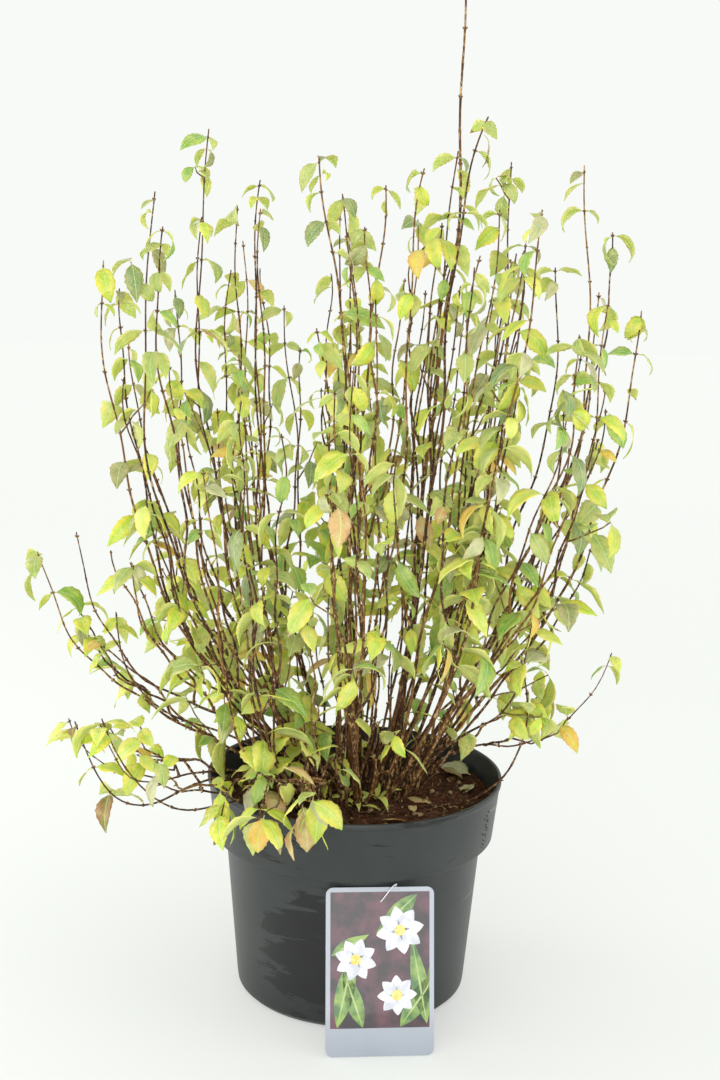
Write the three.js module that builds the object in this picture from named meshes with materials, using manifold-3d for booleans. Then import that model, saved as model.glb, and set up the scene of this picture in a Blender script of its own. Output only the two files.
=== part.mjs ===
// A mock orange shrub standing in its round nursery pot, with a plant card leaning on the pot.
// Millimetres, +Z up. The origin is the centre of the pot's underside, and the card is on the -Y side.
// Stems fan out of the compost. Each stem ends in a mass of foliage: long shoots, short side twigs
// and opposite pairs of leaves, all grown by one seeded rule inside the space of that mass.
import * as THREE from "three";
import { mergeVertices } from "three/addons/utils/BufferGeometryUtils.js";
import Module from "manifold-3d";

const wasm = await Module();
wasm.setup();

// ---- Driving dimensions ----

const GAP = 0.3; // between touching pieces
const CLOSE = 0.003; // corners nearer than this would merge

const POT = {
  height: 165.4,
  rimRadius: 110,
  collarFootRadius: 104.5,
  collarHeight: 45,
  bodyTopRadius: 96,
  footRadius: 86,
  wall: 2,
  lip: 2.8, // thickness at the rim
  floor: 3,
  rounding: 3,
  facets: 36,
};

const COMPOST = { crownHeight: 152, crownRadius: 58, edgeHeight: 147 };

const CARD = {
  width: 76,
  height: 117,
  thickness: 0.9,
  corner: 5,
  holeRadius: 2.6,
  holeDrop: 10.5, // hole centre below the top edge
  footDistance: 123.3, // from the pot's axis to the card's lower edge
  lean: 13.6, // degrees back, so that the top edge rests on the pot just under its collar
  turn: 5, // degrees about the vertical
  slide: 11.2, // sideways along its own plane
};

// Each stem is an arch in the vertical plane of its foot and tip. `leave` says how far out and up
// its handle reaches from the foot, `arrive` how far back in and down from the tip. `girth` is the
// diameter at the foot, `shoots` the number of side shoots that its mass tries to grow.
// Name, foot, tip, leave, arrive, girth and shoots. The leader also says how high its side shoots
// stay, as a share of the usual height, and where its leafless end begins.
const STEMS = [
  ["leader", [24, 8], [70, 10, 730], [30, 175], [7, 200], 18, 3, 0.8, 0.74],
  ["left_edge", [-30, -6], [-178, -20, 539], [107, 116], [-8, 173], 7, 3],
  ["left_tall", [-24, -20], [-148, -60, 587], [100, 115], [-17, 225], 7, 3],
  ["left_rear", [-20, 14], [-123, 70, 634], [112, 138], [-16, 259], 7, 3],
  ["left_inner", [-12, 0], [-75, 20, 597], [80, 40], [-5, 172], 7, 3],
  ["front_left", [-16, -36], [-82, -95, 453], [100, 20], [16, 80], 6, 3],
  ["middle_front", [-4, -16], [-32, -30, 612], [-1, 149], [30, 136], 8, 3],
  ["middle_rear", [2, 18], [12, 75, 598], [20, 150], [60, 139], 8, 3],
  ["right_inner", [13, -12], [77, -45, 641], [50, 142], [40, 143], 8, 3],
  ["right_tall", [22, 24], [108, 45, 614], [70, 112], [6, 165], 7, 3],
  ["front_right", [22, -28], [113, -95, 580], [87, 122], [21, 159], 7, 3],
  ["right_outer", [36, 16], [162, 60, 614], [104, 143], [-29, 215], 7, 3],
  ["right_edge", [40, 0], [190, 0, 512], [94, 126], [0, 174], 7, 3],
  ["right_front", [34, -14], [165, -60, 522], [60, 106], [-6, 172], 6, 3],
  ["right_low", [49, 11], [193, 40, 250], [40, 62], [34, 110], 5, 2],
  ["far_left", [-44, -3], [-234, -20, 332], [116, 80], [44, 130], 6, 3],
  ["far_left_front", [-38, -18], [-192, -74, 359], [40, 100], [4, 139], 6, 3],
  ["low_left", [-50, -14], [-199, -52, 220], [80, 60], [40, 100], 5, 2],
  ["low_left_front", [-38, -38], [-172, -105, 233], [70, 45], [30, 90], 5, 2],
  ["front_middle", [2, -40], [-5, -132, 480], [70, 90], [0, 150], 6, 3],
  ["front_low", [-18, -52], [-60, -150, 190], [55, 68], [42, 4], 5, 3],
  ["rear_left", [-14, 32], [-98, 146, 552], [95, 120], [5, 180], 7, 3],
  ["rear_middle", [4, 38], [-12, 172, 566], [95, 120], [0, 190], 7, 3],
  ["rear_right", [22, 40], [112, 150, 540], [90, 120], [4, 180], 7, 3],
  ["rear_low_left", [-32, 34], [-150, 150, 330], [80, 95], [10, 130], 6, 3],
  ["rear_low_right", [36, 36], [148, 162, 300], [80, 90], [20, 110], 6, 3],
].map(([name, foot, tip, leave, arrive, girth, shoots, crown = 1, bareFrom = 1]) => (
  { name, foot, tip, leave, arrive, girth, shoots, crown, bareFrom }
));

// `share` is the part of an arch that is bare stem, before its mass begins.
const STEM = { share: 0.15, sides: 5, steps: 3, tipRadius: 2.1 };

const SHOOT = {
  sides: 3,
  step: 60, // length of one straight piece
  pointFrom: 0.97, // share of a shoot at which its point begins
  sunk: 0.42, // share of its radius with which a side shoot starts inside its parent
  footRadius: 1.9,
  tipRadius: 0.9,
};

// A side shoot forks from the leading shoot and fans out beside it.
const FORK = {
  from: 0.17, // as shares of the arch
  to: 0.48,
  endFrom: 0.74,
  endTo: 0.97,
  spreadFrom: 20, // from the leading shoot at its end
  spreadTo: 38,
  inward: 1.1, // radians that it may turn in from straight sideways
  girthShare: 0.85,
  leave: 0.12, // handles, as shares of its length
  arrive: 0.4,
  leaveAside: 0.7, // and as shares of its spread
  arriveAside: 0.1,
};

// Where pairs of leaves stand along a shoot.
const NODE = { spacing: 34, firstShare: 0.08, lowUntil: 0.62, bareLow: 0.12, bareHigh: 0.4 };

const TWIG = {
  shortest: 20,
  longest: 50,
  radius: 1.1,
  taper: 0.8,
  chance: 0.55, // at a low node
  climb: 0.73, // radians from straight out towards the shoot's own direction
  fade: 0.5, // how much shorter twigs are at the tip of a shoot
  lift: 0.1,
  leave: 0.35,
  arrive: 0.25,
};

const LEAF = {
  shortest: 32,
  longest: 48,
  widthShare: 0.5,
  bendShare: 0.4, // where along it a leaf is widest and bends down
  thickness: 1.1,
  sink: 0.4, // of its root past the twig's axis
  nodeStep: 3, // leaves stand at every third node
  fullUntil: 0.4, // share of a shoot below which they stand at every other node
  smallFrom: 0.85, // share of a shoot from which leaves are small
  smallShare: 0.62,
  climbFrom: 0.15,
  climbTo: 0.75,
  lift: 0.15,
  bendFrom: 0.6, // radians
  bendTo: 1.6,
  tilt: 0.6, // radians to either side
};

const SPACE = { reach: 62, overlap: 7 }; // how far a mass may stand off its arch, and past the halfway line
const TWIG_CLEAR = 1.2; // between twigs of two masses, surface to surface
const SEED = { shoots: 100, nodes: 7000, twigs: 50 };

// ---- Seeded numbers and small helpers ----

function dice(seed) {
  let state = seed >>> 0;
  return () => {
    state = (state + 0x6d2b79f5) >>> 0;
    let t = Math.imul(state ^ (state >>> 15), 1 | state);
    t = (t + Math.imul(t ^ (t >>> 7), 61 | t)) ^ t;
    return ((t ^ (t >>> 14)) >>> 0) / 4294967296;
  };
}

const mix = (low, high, share) => low + (high - low) * share;
const vec = (x, y, z) => new THREE.Vector3(x, y, z);
const UP = vec(0, 0, 1);

// ---- Solids ----

function solidOf(geometry) {
  const bare = geometry.clone();
  bare.deleteAttribute("normal");
  bare.deleteAttribute("uv");
  const merged = mergeVertices(bare, 1e-4);
  return new wasm.Manifold(
    new wasm.Mesh({
      numProp: 3,
      vertProperties: merged.attributes.position.array,
      triVerts: new Uint32Array(merged.index.array),
    }),
  );
}

function geometryOf(solid) {
  const mesh = solid.getMesh();
  return new THREE.BufferGeometry()
    .setAttribute("position", new THREE.BufferAttribute(mesh.vertProperties, 3))
    .setIndex(new THREE.BufferAttribute(mesh.triVerts, 1));
}

function pieceOf(geometry) {
  geometry.computeBoundingBox();
  return { box: geometry.boundingBox, solid: solidOf(geometry) };
}

function crowded(solid) {
  const { vertProperties, numVert } = solid.getMesh();
  const corners = Array.from({ length: numVert }, (_, i) => vertProperties.slice(3 * i, 3 * i + 3));
  corners.sort((a, b) => a[0] - b[0]);
  return corners.some((corner, i) => {
    for (let j = i + 1; j < corners.length && corners[j][0] - corner[0] < CLOSE; j++)
      if (corner.every((value, axis) => Math.abs(corners[j][axis] - value) < CLOSE)) return true;
    return false;
  });
}

function touches(piece, others) {
  const near = others.filter((other) => piece.box.intersectsBox(other.box));
  return near.some((other) => !piece.solid.intersect(other.solid).isEmpty());
}

// ---- Pot, compost and card ----

const profileOf = (points) => points.map(([radius, height]) => new THREE.Vector2(radius, height));

function lathe(points) {
  return new THREE.LatheGeometry(profileOf(points), POT.facets).rotateX(Math.PI / 2);
}

const stepHeight = POT.height - POT.collarHeight;

function innerWall() {
  return [
    [POT.footRadius - POT.wall, POT.floor],
    [POT.bodyTopRadius - POT.wall, stepHeight - POT.wall],
    [POT.collarFootRadius - POT.wall, stepHeight + POT.wall],
    [POT.rimRadius - POT.lip, POT.height - POT.wall],
  ];
}

// The outer lower edge of a ring, rounded in two facets.
function softEdge(radius, height) {
  const soft = POT.rounding;
  return [
    [radius - soft, height],
    [radius - 0.3 * soft, height + 0.3 * soft],
    [radius, height + soft],
  ];
}

function potGeometry() {
  return lathe([
    [0, 0],
    ...softEdge(POT.footRadius, 0),
    [POT.bodyTopRadius, stepHeight - GAP],
    ...softEdge(POT.collarFootRadius, stepHeight),
    [POT.rimRadius, POT.height - POT.wall],
    [POT.rimRadius - 0.3 * POT.wall, POT.height],
    [POT.rimRadius - POT.wall, POT.height],
    ...innerWall().reverse(),
    [0, POT.floor],
  ]);
}

function compostGeometry() {
  const wall = innerWall();
  const rim = wall.pop();
  const step = wall.at(-1);
  const edgeShare = (COMPOST.edgeHeight - step[1]) / (rim[1] - step[1]);
  wall.push([mix(step[0], rim[0], edgeShare), COMPOST.edgeHeight - GAP]);
  return lathe([
    [0, POT.floor + GAP],
    ...wall.map(([radius, height]) => [radius - GAP, height + GAP]),
    [COMPOST.crownRadius, COMPOST.crownHeight],
    [0, COMPOST.crownHeight],
  ]);
}

function cardGeometry() {
  const { width, height, corner } = CARD;
  const side = width / 2;
  const outline = new THREE.Shape()
    .moveTo(corner - side, 0)
    .lineTo(side - corner, 0)
    .absarc(side - corner, corner, corner, -Math.PI / 2, 0)
    .lineTo(side, height - corner)
    .absarc(side - corner, height - corner, corner, 0, Math.PI / 2)
    .lineTo(corner - side, height)
    .absarc(corner - side, height - corner, corner, Math.PI / 2, Math.PI)
    .lineTo(-side, corner)
    .absarc(corner - side, corner, corner, Math.PI, 1.5 * Math.PI);
  const hole = new THREE.Path().absarc(0, height - CARD.holeDrop, CARD.holeRadius, 0, 2 * Math.PI, true);
  outline.holes.push(hole);
  return new THREE.ExtrudeGeometry(outline, { depth: CARD.thickness, bevelEnabled: false, curveSegments: 3 });
}

function placeCard(card) {
  const stand = new THREE.Group();
  card.rotation.x = Math.PI / 2 - THREE.MathUtils.degToRad(CARD.lean);
  card.position.set(CARD.slide, -CARD.footDistance, GAP);
  stand.rotation.z = THREE.MathUtils.degToRad(CARD.turn);
  stand.add(card);
  return stand;
}

// ---- Arches and limbs ----

function archOf(stem) {
  const foot = vec(stem.foot[0], stem.foot[1], COMPOST.crownHeight + GAP);
  const tip = vec(...stem.tip);
  const outward = vec(tip.x - foot.x, tip.y - foot.y, 0).normalize();
  const bendLow = foot.clone().addScaledVector(outward, stem.leave[0]).addScaledVector(UP, stem.leave[1]);
  const bendHigh = tip.clone().addScaledVector(outward, -stem.arrive[0]).addScaledVector(UP, -stem.arrive[1]);
  return new THREE.CubicBezierCurve3(foot, bendLow, bendHigh, tip);
}

// The directions across a curve at t, outward first and then level, and the one along it.
function across(curve, t, along = curve.getTangent(t)) {
  const side = vec(0, 0, 0).crossVectors(along, curve.sideways).normalize();
  return [side, vec(0, 0, 0).crossVectors(side, along).normalize(), along];
}

// Adds the level direction square to a curve's plane, and its length.
function measured(curve) {
  const sideways = vec(0, 0, 0).crossVectors(curve.v3.clone().sub(curve.v0), UP);
  curve.sideways = sideways.lengthSq() < 1 ? vec(0, 1, 0) : sideways.normalize();
  curve.reach = curve.getLength();
  return curve;
}

// A limb of round-ish section that tapers along the curve from one t to another. A pointed limb
// closes in a tip, and one with a level foot is cut flat on the compost.
function limbGeometry(limb, { sides, pointed, levelFoot, sunk, grow = 0 }) {
  const steps = limb.stations.length - 1;
  const shape = new THREE.CylinderGeometry(pointed ? 0 : 1, 1, 1, sides, steps);
  const place = shape.attributes.position;
  for (let i = 0; i < place.count; i++) {
    const share = limb.stations[Math.round((place.getY(i) + 0.5) * steps)];
    const t = mix(limb.from, limb.to, share);
    const [side, over] = across(limb.curve, t, levelFoot && share === 0 ? UP : undefined);
    const ray = Math.hypot(place.getX(i), place.getZ(i));
    const atRoot = share === 0 && sunk;
    const radius = mix(limb.footRadius, limb.tipRadius, share) * (atRoot ? SHOOT.sunk : 1) + grow;
    const point = limb.curve.getPoint(t);
    if (ray > 1e-6) {
      point.addScaledVector(side, (place.getX(i) / ray) * radius);
      point.addScaledVector(over, (place.getZ(i) / ray) * radius);
    }
    place.setXYZ(i, point.x, point.y, point.z);
  }
  return shape;
}

// ---- Spaces and clearances ----

function pathOf(limb, count) {
  const shares = Array.from({ length: count + 1 }, (_, i) => i / count);
  return shares.map((share) => limb.curve.getPoint(mix(limb.from, limb.to, share)));
}

function distanceToPath(point, path) {
  let best = Infinity;
  for (let i = 1; i < path.length; i++) {
    const line = new THREE.Line3(path[i - 1], path[i]);
    best = Math.min(best, line.closestPointToPoint(point, true, vec(0, 0, 0)).distanceTo(point));
  }
  return best;
}

function inSpace(point, own) {
  const distance = distanceToPath(point, axes[own]);
  if (distance > SPACE.reach) return false;
  return axes.every((axis, i) => i === own || distance < distanceToPath(point, axis) + SPACE.overlap);
}

// Shortest distance between two straight pieces.
function pieceDistance(a, b, c, d) {
  const ab = b.clone().sub(a);
  const cd = d.clone().sub(c);
  const ca = a.clone().sub(c);
  const [abab, abcd, cdcd, abca, cdca] = [ab.dot(ab), ab.dot(cd), cd.dot(cd), ab.dot(ca), cd.dot(ca)];
  const spread = abab * cdcd - abcd * abcd;
  let s = spread > 1e-9 ? THREE.MathUtils.clamp((abcd * cdca - cdcd * abca) / spread, 0, 1) : 0;
  const u = THREE.MathUtils.clamp((abcd * s + cdca) / cdcd, 0, 1);
  s = THREE.MathUtils.clamp((abcd * u - abca) / abab, 0, 1);
  return a.clone().addScaledVector(ab, s).distanceTo(c.clone().addScaledVector(cd, u));
}

function limbDistance(limb, other) {
  const distances = limb.path.slice(1).flatMap((end, i) =>
    other.path.slice(1).map((far, j) => pieceDistance(limb.path[i], end, other.path[j], far)),
  );
  return Math.min(...distances);
}

function clearOfLimbs(limb, others) {
  const needed = (other) => limb.footRadius + other.footRadius + TWIG_CLEAR;
  return others.every((other) => limbDistance(limb, other) > needed(other));
}

// ---- Growth ----

function newLimb(curve, from, to, footRadius, tipRadius, stations) {
  const path = stations.map((share) => curve.getPoint(mix(from, to, share)));
  return { curve, from, to, footRadius, tipRadius, stations, path };
}

// A point on the straight pieces of a limb.
function pointOn(limb, share) {
  const piece = Math.max(1, limb.stations.findIndex((station) => station >= share));
  const [low, high] = [limb.stations[piece - 1], limb.stations[piece]];
  return limb.path[piece - 1].clone().lerp(limb.path[piece], (share - low) / (high - low));
}

// Shares along a pointed limb at which its section changes: even pieces, then a short point.
function pointedStations(length) {
  const pieces = Math.max(1, Math.round(length / SHOOT.step));
  return [...Array.from({ length: pieces + 1 }, (_, i) => (SHOOT.pointFrom * i) / pieces), 1];
}

function growBough(stem) {
  const stations = Array.from({ length: STEM.steps + 1 }, (_, i) => i / STEM.steps);
  return newLimb(stem.arch, 0, STEM.share, stem.girth / 2, STEM.tipRadius, stations);
}

function growLeadingShoot(stem) {
  const from = STEM.share + GAP / stem.arch.getLength();
  const stations = pointedStations(stem.arch.reach * (1 - from));
  return newLimb(stem.arch, from, 1, SHOOT.footRadius, SHOOT.tipRadius, stations);
}

function growSideShoot(stem, index, k) {
  const roll = dice(SEED.shoots * (index + 1) + k);
  const forkAt = mix(FORK.from, FORK.to, (k + roll()) / stem.shoots);
  const endAt = mix(FORK.endFrom, FORK.endTo, roll()) * stem.crown;
  const turn = FORK.inward * roll();
  const spread = mix(FORK.spreadFrom, FORK.spreadTo, roll());
  const way = (k + index) % 2 ? 1 : -1;
  const [outward, level, along] = across(stem.arch, endAt);
  const aside = outward.multiplyScalar(-Math.sin(turn)).addScaledVector(level, way * Math.cos(turn));
  aside.multiplyScalar(spread);
  const start = pointOn(stem.leading, (forkAt - stem.leading.from) / (1 - stem.leading.from));
  const end = stem.arch.getPoint(endAt).add(aside);
  const length = end.distanceTo(start);
  const bendLow = start.clone().addScaledVector(stem.arch.getTangent(forkAt), FORK.leave * length);
  bendLow.addScaledVector(aside, FORK.leaveAside);
  const bendHigh = end.clone().addScaledVector(along, -FORK.arrive * length);
  bendHigh.addScaledVector(aside, -FORK.arriveAside);
  const curve = measured(new THREE.CubicBezierCurve3(start, bendLow, bendHigh, end));
  const footRadius = FORK.girthShare * SHOOT.footRadius;
  return newLimb(curve, 0, 1, footRadius, SHOOT.tipRadius, pointedStations(curve.reach));
}

// The nodes of a shoot, from its foot to its tip, each with two opposite directions.
function nodesOf(shoot, seed) {
  const roll = dice(seed);
  const length = shoot.curve.reach * (shoot.to - shoot.from);
  const count = Math.max(2, Math.round(length / NODE.spacing));
  const turn = Math.PI * roll();
  return Array.from({ length: count + 1 }, (_, i) => {
    const share = mix(NODE.firstShare, SHOOT.pointFrom, i / count);
    const t = mix(shoot.from, shoot.to, share);
    const [side, over, along] = across(shoot.curve, t);
    const angle = turn + (i * Math.PI) / 2;
    const outward = side.multiplyScalar(Math.cos(angle)).addScaledVector(over, Math.sin(angle));
    return { point: pointOn(shoot, share), outward, along, share, last: i === count, index: i };
  });
}

function growTwig(node, way, roll) {
  const length = mix(TWIG.shortest, TWIG.longest, roll()) * (1.1 - TWIG.fade * node.share);
  const heading = node.outward.clone().multiplyScalar(way * Math.cos(TWIG.climb));
  heading.addScaledVector(node.along, Math.sin(TWIG.climb)).normalize();
  const rise = TWIG.lift * length;
  const end = node.point.clone().addScaledVector(heading, length).addScaledVector(UP, rise);
  const bendLow = node.point.clone().addScaledVector(heading, TWIG.leave * length);
  const bendHigh = end.clone().addScaledVector(heading, -TWIG.arrive * length).addScaledVector(UP, -rise);
  const curve = measured(new THREE.CubicBezierCurve3(node.point, bendLow, bendHigh, end));
  return newLimb(curve, 0, 1, TWIG.radius, TWIG.taper * TWIG.radius, pointedStations(curve.reach));
}

// A leaf is a ridged kite of six faces that bends down at its widest place.
function leafGeometry(leaf, grow = 0) {
  const { point, heading, length, bend, tilt } = leaf;
  const wide = vec(0, 0, 0).crossVectors(heading, UP).normalize().applyAxisAngle(heading, tilt);
  const top = vec(0, 0, 0).crossVectors(wide, heading).normalize();
  const middle = point.clone().addScaledVector(heading, LEAF.bendShare * length);
  const fall = heading.clone().multiplyScalar(Math.cos(bend)).addScaledVector(top, -Math.sin(bend));
  const ridge = heading.clone().multiplyScalar(Math.sin(bend / 2)).addScaledVector(top, Math.cos(bend / 2));
  const tip = middle.clone().addScaledVector(fall, (1 - LEAF.bendShare) * length + grow);
  const root = point.clone().addScaledVector(heading, -LEAF.sink - grow);
  const half = 0.5 * LEAF.widthShare * length + grow;
  const kite = profileOf([[0, -1], [1, 0], [0, 1]]);
  const shape = new THREE.LatheGeometry(kite, 3);
  const place = shape.attributes.position;
  for (let i = 0; i < place.count; i++) {
    const [x, y, z] = [place.getX(i), place.getY(i), place.getZ(i)].map(Math.round);
    const corner = [root, middle, tip][y + 1].clone();
    if (y === 0) corner.addScaledVector(wide, x * half);
    if (y === 0) corner.addScaledVector(ridge, z > 0 ? LEAF.thickness + grow : -grow);
    place.setXYZ(i, corner.x, corner.y, corner.z);
  }
  return shape;
}

function newLeaf(node, way, roll) {
  const size = node.share > LEAF.smallFrom && !node.onTwig ? LEAF.smallShare : 1;
  const length = size * mix(LEAF.shortest, LEAF.longest, roll());
  const heading = node.outward.clone().multiplyScalar(way);
  heading.addScaledVector(node.along, mix(LEAF.climbFrom, LEAF.climbTo, roll()));
  heading.addScaledVector(UP, LEAF.lift).normalize();
  const bend = mix(LEAF.bendFrom, LEAF.bendTo, roll());
  const tilt = mix(-LEAF.tilt, LEAF.tilt, roll());
  return { point: node.point, heading, length, bend, tilt };
}

// ---- Assembly ----

STEMS.forEach((stem) => {
  stem.arch = measured(archOf(stem));
  stem.bough = growBough(stem);
  stem.leading = growLeadingShoot(stem);
});
const axes = STEMS.map((stem) => pathOf({ curve: stem.arch, from: 0, to: 1 }, 12));

const potShape = potGeometry();
const compostShape = compostGeometry();
const cardMesh = new THREE.Mesh(cardGeometry());
const cardStand = placeCard(cardMesh);
cardStand.updateMatrixWorld(true);

const allLimbs = STEMS.flatMap((stem, own) => [stem.bough, stem.leading].map((limb) => ({ own, limb })));
const othersOf = (own) => allLimbs.filter((entry) => entry.own !== own).map((entry) => entry.limb);

STEMS.forEach((stem, own) => {
  stem.shootList = [stem.leading];
  for (let k = 0; k < stem.shoots; k++) {
    const shoot = growSideShoot(stem, own, k);
    const inside = shoot.path.slice(2).every((point) => inSpace(point, own));
    if (!inside || !clearOfLimbs(shoot, othersOf(own))) continue;
    stem.shootList.push(shoot);
    allLimbs.push({ own, limb: shoot });
  }
});

const footed = { sides: STEM.sides, levelFoot: true };
const fixedPieces = [
  pieceOf(potShape),
  pieceOf(compostShape),
  pieceOf(cardMesh.geometry.clone().applyMatrix4(cardMesh.matrixWorld)),
  ...STEMS.map(({ bough }) => pieceOf(limbGeometry(bough, { ...footed, grow: GAP }))),
];

// Fuses a piece to its mass, unless that leaves a loose scrap, a sealed hollow or merging corners.
function fuse(stem, piece) {
  const whole = stem.mass ? stem.mass.add(piece.solid) : piece.solid;
  if (whole.decompose().length > 1 || crowded(whole)) return null;
  stem.mass = whole;
  stem.pieces.push(piece);
  return piece;
}

STEMS.forEach((stem) => {
  stem.pieces = [];
  stem.shootPieces = stem.shootList.map((shoot, k) => {
    const options = { sides: SHOOT.sides, pointed: true, sunk: k > 0 };
    return fuse(stem, pieceOf(limbGeometry(shoot, options)));
  });
});

function addPiece(stem, real, grown, family) {
  const own = stem.pieces.filter((piece) => !family.includes(piece));
  const foreign = STEMS.filter((other) => other !== stem).flatMap((other) => other.pieces);
  return touches(grown, [...fixedPieces, ...own, ...foreign]) ? null : fuse(stem, real);
}

function addLeaf(stem, node, way, roll, family) {
  const leaf = newLeaf(node, way, roll);
  const grown = pieceOf(leafGeometry(leaf, GAP));
  const piece = addPiece(stem, pieceOf(leafGeometry(leaf)), grown, family);
  if (piece) family.push(piece);
}

function addTwig(stem, own, node, roll, seed, family) {
  const way = roll() < 0.5 ? -1 : 1;
  const twig = growTwig(node, way, roll);
  if (!inSpace(twig.path.at(-1), own)) return;
  const options = { sides: SHOOT.sides, pointed: true, sunk: true };
  const grown = pieceOf(limbGeometry(twig, { ...options, grow: GAP }));
  const piece = addPiece(stem, pieceOf(limbGeometry(twig, options)), grown, family);
  if (!piece) return;
  family.push(piece);
  const end = { ...nodesOf(twig, seed).at(-1), onTwig: true };
  addLeaf(stem, end, -1, roll, family);
  addLeaf(stem, end, 1, roll, family);
  addLeaf(stem, node, -way, roll, family);
}

function leafOut(stem, own, node, seed, shootPiece) {
  const roll = dice(seed);
  const low = node.share < NODE.lowUntil;
  const bare = roll() < (low ? NODE.bareLow : NODE.bareHigh) || node.share > stem.bareFrom;
  if ((bare && !node.last) || !inSpace(node.point, own)) return;
  const family = [shootPiece];
  if (low && roll() < TWIG.chance) {
    addTwig(stem, own, node, roll, seed + SEED.twigs, family);
  } else {
    addLeaf(stem, node, -1, roll, family);
    addLeaf(stem, node, 1, roll, family);
  }
}

STEMS.forEach((stem, own) => {
  stem.shootList.forEach((shoot, k) => {
    if (!stem.shootPieces[k]) return;
    const seed = SEED.nodes + 100 * own + 10 * k;
    const stepAt = (node) => (node.share < LEAF.fullUntil ? LEAF.nodeStep - 1 : LEAF.nodeStep);
    const leafy = nodesOf(shoot, seed).filter((node) => node.last || (node.index + k) % stepAt(node) === 0);
    leafy.forEach((node) => leafOut(stem, own, node, 100 * seed + node.index, stem.shootPieces[k]));
  });
});

// ---- Materials and the named meshes ----

function finish(color, roughness, metalness = 0) {
  return new THREE.MeshStandardMaterial({ color, roughness, metalness });
}
const LEAF_COLORS = ["#8fae3a", "#a3bd4a", "#7d9c36", "#b3c257", "#96b043"];

const shrub = new THREE.Group();

function addMesh(name, geometry, material, parent = shrub) {
  const mesh = new THREE.Mesh(geometry, material);
  mesh.name = name;
  parent.add(mesh);
}

addMesh("pot", potShape, finish("#383b3a", 0.45));
addMesh("compost", compostShape, finish("#35231b", 0.95));

cardMesh.name = "plant_card";
cardMesh.material = finish("#8d929c", 0.3);
shrub.add(cardStand);

STEMS.forEach((stem, i) => {
  const color = LEAF_COLORS[i % LEAF_COLORS.length];
  addMesh("stem_" + stem.name, limbGeometry(stem.bough, footed), finish("#6b4531", 0.8));
  addMesh("foliage_" + stem.name, geometryOf(stem.mass), finish(color, 0.55));
});

export default shrub;
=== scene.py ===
# A mock orange shrub in its nursery pot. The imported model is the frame, and every piece here is made
# round it, in the same place and at the same size. Sizes are in millimetres until a mesh is made.
import math

import bmesh
import bpy
import numpy as np
from mathutils import Matrix, Vector, noise


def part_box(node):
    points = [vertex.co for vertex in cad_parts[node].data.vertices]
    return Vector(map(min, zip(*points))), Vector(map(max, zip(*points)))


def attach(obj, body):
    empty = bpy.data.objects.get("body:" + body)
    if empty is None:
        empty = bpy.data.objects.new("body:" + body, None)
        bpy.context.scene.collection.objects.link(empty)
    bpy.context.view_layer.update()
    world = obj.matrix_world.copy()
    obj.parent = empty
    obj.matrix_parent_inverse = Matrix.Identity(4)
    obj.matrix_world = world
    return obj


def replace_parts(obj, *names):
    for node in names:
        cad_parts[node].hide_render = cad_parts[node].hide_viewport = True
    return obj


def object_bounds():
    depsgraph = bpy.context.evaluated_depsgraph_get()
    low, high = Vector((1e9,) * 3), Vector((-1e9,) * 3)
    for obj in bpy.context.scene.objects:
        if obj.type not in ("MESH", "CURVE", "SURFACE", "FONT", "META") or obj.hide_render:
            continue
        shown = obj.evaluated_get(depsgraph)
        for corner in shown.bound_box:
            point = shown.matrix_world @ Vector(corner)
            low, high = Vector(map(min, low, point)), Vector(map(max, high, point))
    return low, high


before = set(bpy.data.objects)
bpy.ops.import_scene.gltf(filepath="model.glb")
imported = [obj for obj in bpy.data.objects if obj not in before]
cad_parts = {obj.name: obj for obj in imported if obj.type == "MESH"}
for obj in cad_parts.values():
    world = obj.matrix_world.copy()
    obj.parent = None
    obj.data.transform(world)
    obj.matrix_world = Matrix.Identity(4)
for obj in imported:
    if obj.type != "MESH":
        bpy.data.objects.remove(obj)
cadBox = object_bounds()
mm = 0.001
print("frame loaded,", len(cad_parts), "nodes")


# small helpers

def colour(code):
    # sRGB hex to linear
    parts = [int(code[i : i + 2], 16) / 255 for i in (1, 3, 5)]
    return [p / 12.92 if p <= 0.04045 else ((p + 0.055) / 1.055) ** 2.4 for p in parts] + [1]


def newMaterial(name):
    made = bpy.data.materials.new(name)
    made.use_nodes = True
    made.node_tree.nodes.clear()
    return made


def addNode(material, kind, settings=None, links=None):
    # settings are the node's own options, values of its sockets, or the stops of a colour ramp,
    # links are sockets fed by other nodes
    made = material.node_tree.nodes.new(kind)
    for name, value in (settings or {}).items():
        if name == "stops":
            for i, (place, code) in enumerate(value):
                stop = made.color_ramp.elements[i] if i < 2 else made.color_ramp.elements.new(place)
                stop.position, stop.color = place, colour(code)
        elif isinstance(name, int) or name in made.inputs:
            made.inputs[name].default_value = value
        else:
            setattr(made, name, value)
    for name, source in (links or {}).items():
        material.node_tree.links.new(source, made.inputs[name])
    return made


def newPiece(name, mesh, materials, smooth=True):
    for material in materials:
        mesh.materials.append(material)
    if smooth:
        mesh.shade_smooth()
    piece = bpy.data.objects.new(name, mesh)
    bpy.context.scene.collection.objects.link(piece)
    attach(piece, "root")
    return piece


def meshFrom(bm, name):
    mesh = bpy.data.meshes.new(name)
    bm.to_mesh(mesh)
    bm.free()
    return mesh


def dice(seed):
    # the seeded numbers that the solids are grown with, from 0 up to 1
    bits = 0xFFFFFFFF
    state = seed & bits

    def roll():
        nonlocal state
        state = (state + 0x6D2B79F5) & bits
        t = ((state ^ (state >> 15)) * (1 | state)) & bits
        t = ((t + (t ^ (t >> 7)) * (61 | t)) ^ t) & bits
        return (t ^ (t >> 14)) / (bits + 1)

    return roll


def mix(low, high, share):
    return low + (high - low) * share


def clamp(value, low=0, high=1):
    return min(max(value, low), high)


def unit(v):
    return v / max(np.linalg.norm(v), 1e-9)


up = np.array([0.0, 0.0, 1.0])
anyTurn = 6.28  # a full turn in radians, for what may face any way

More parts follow.
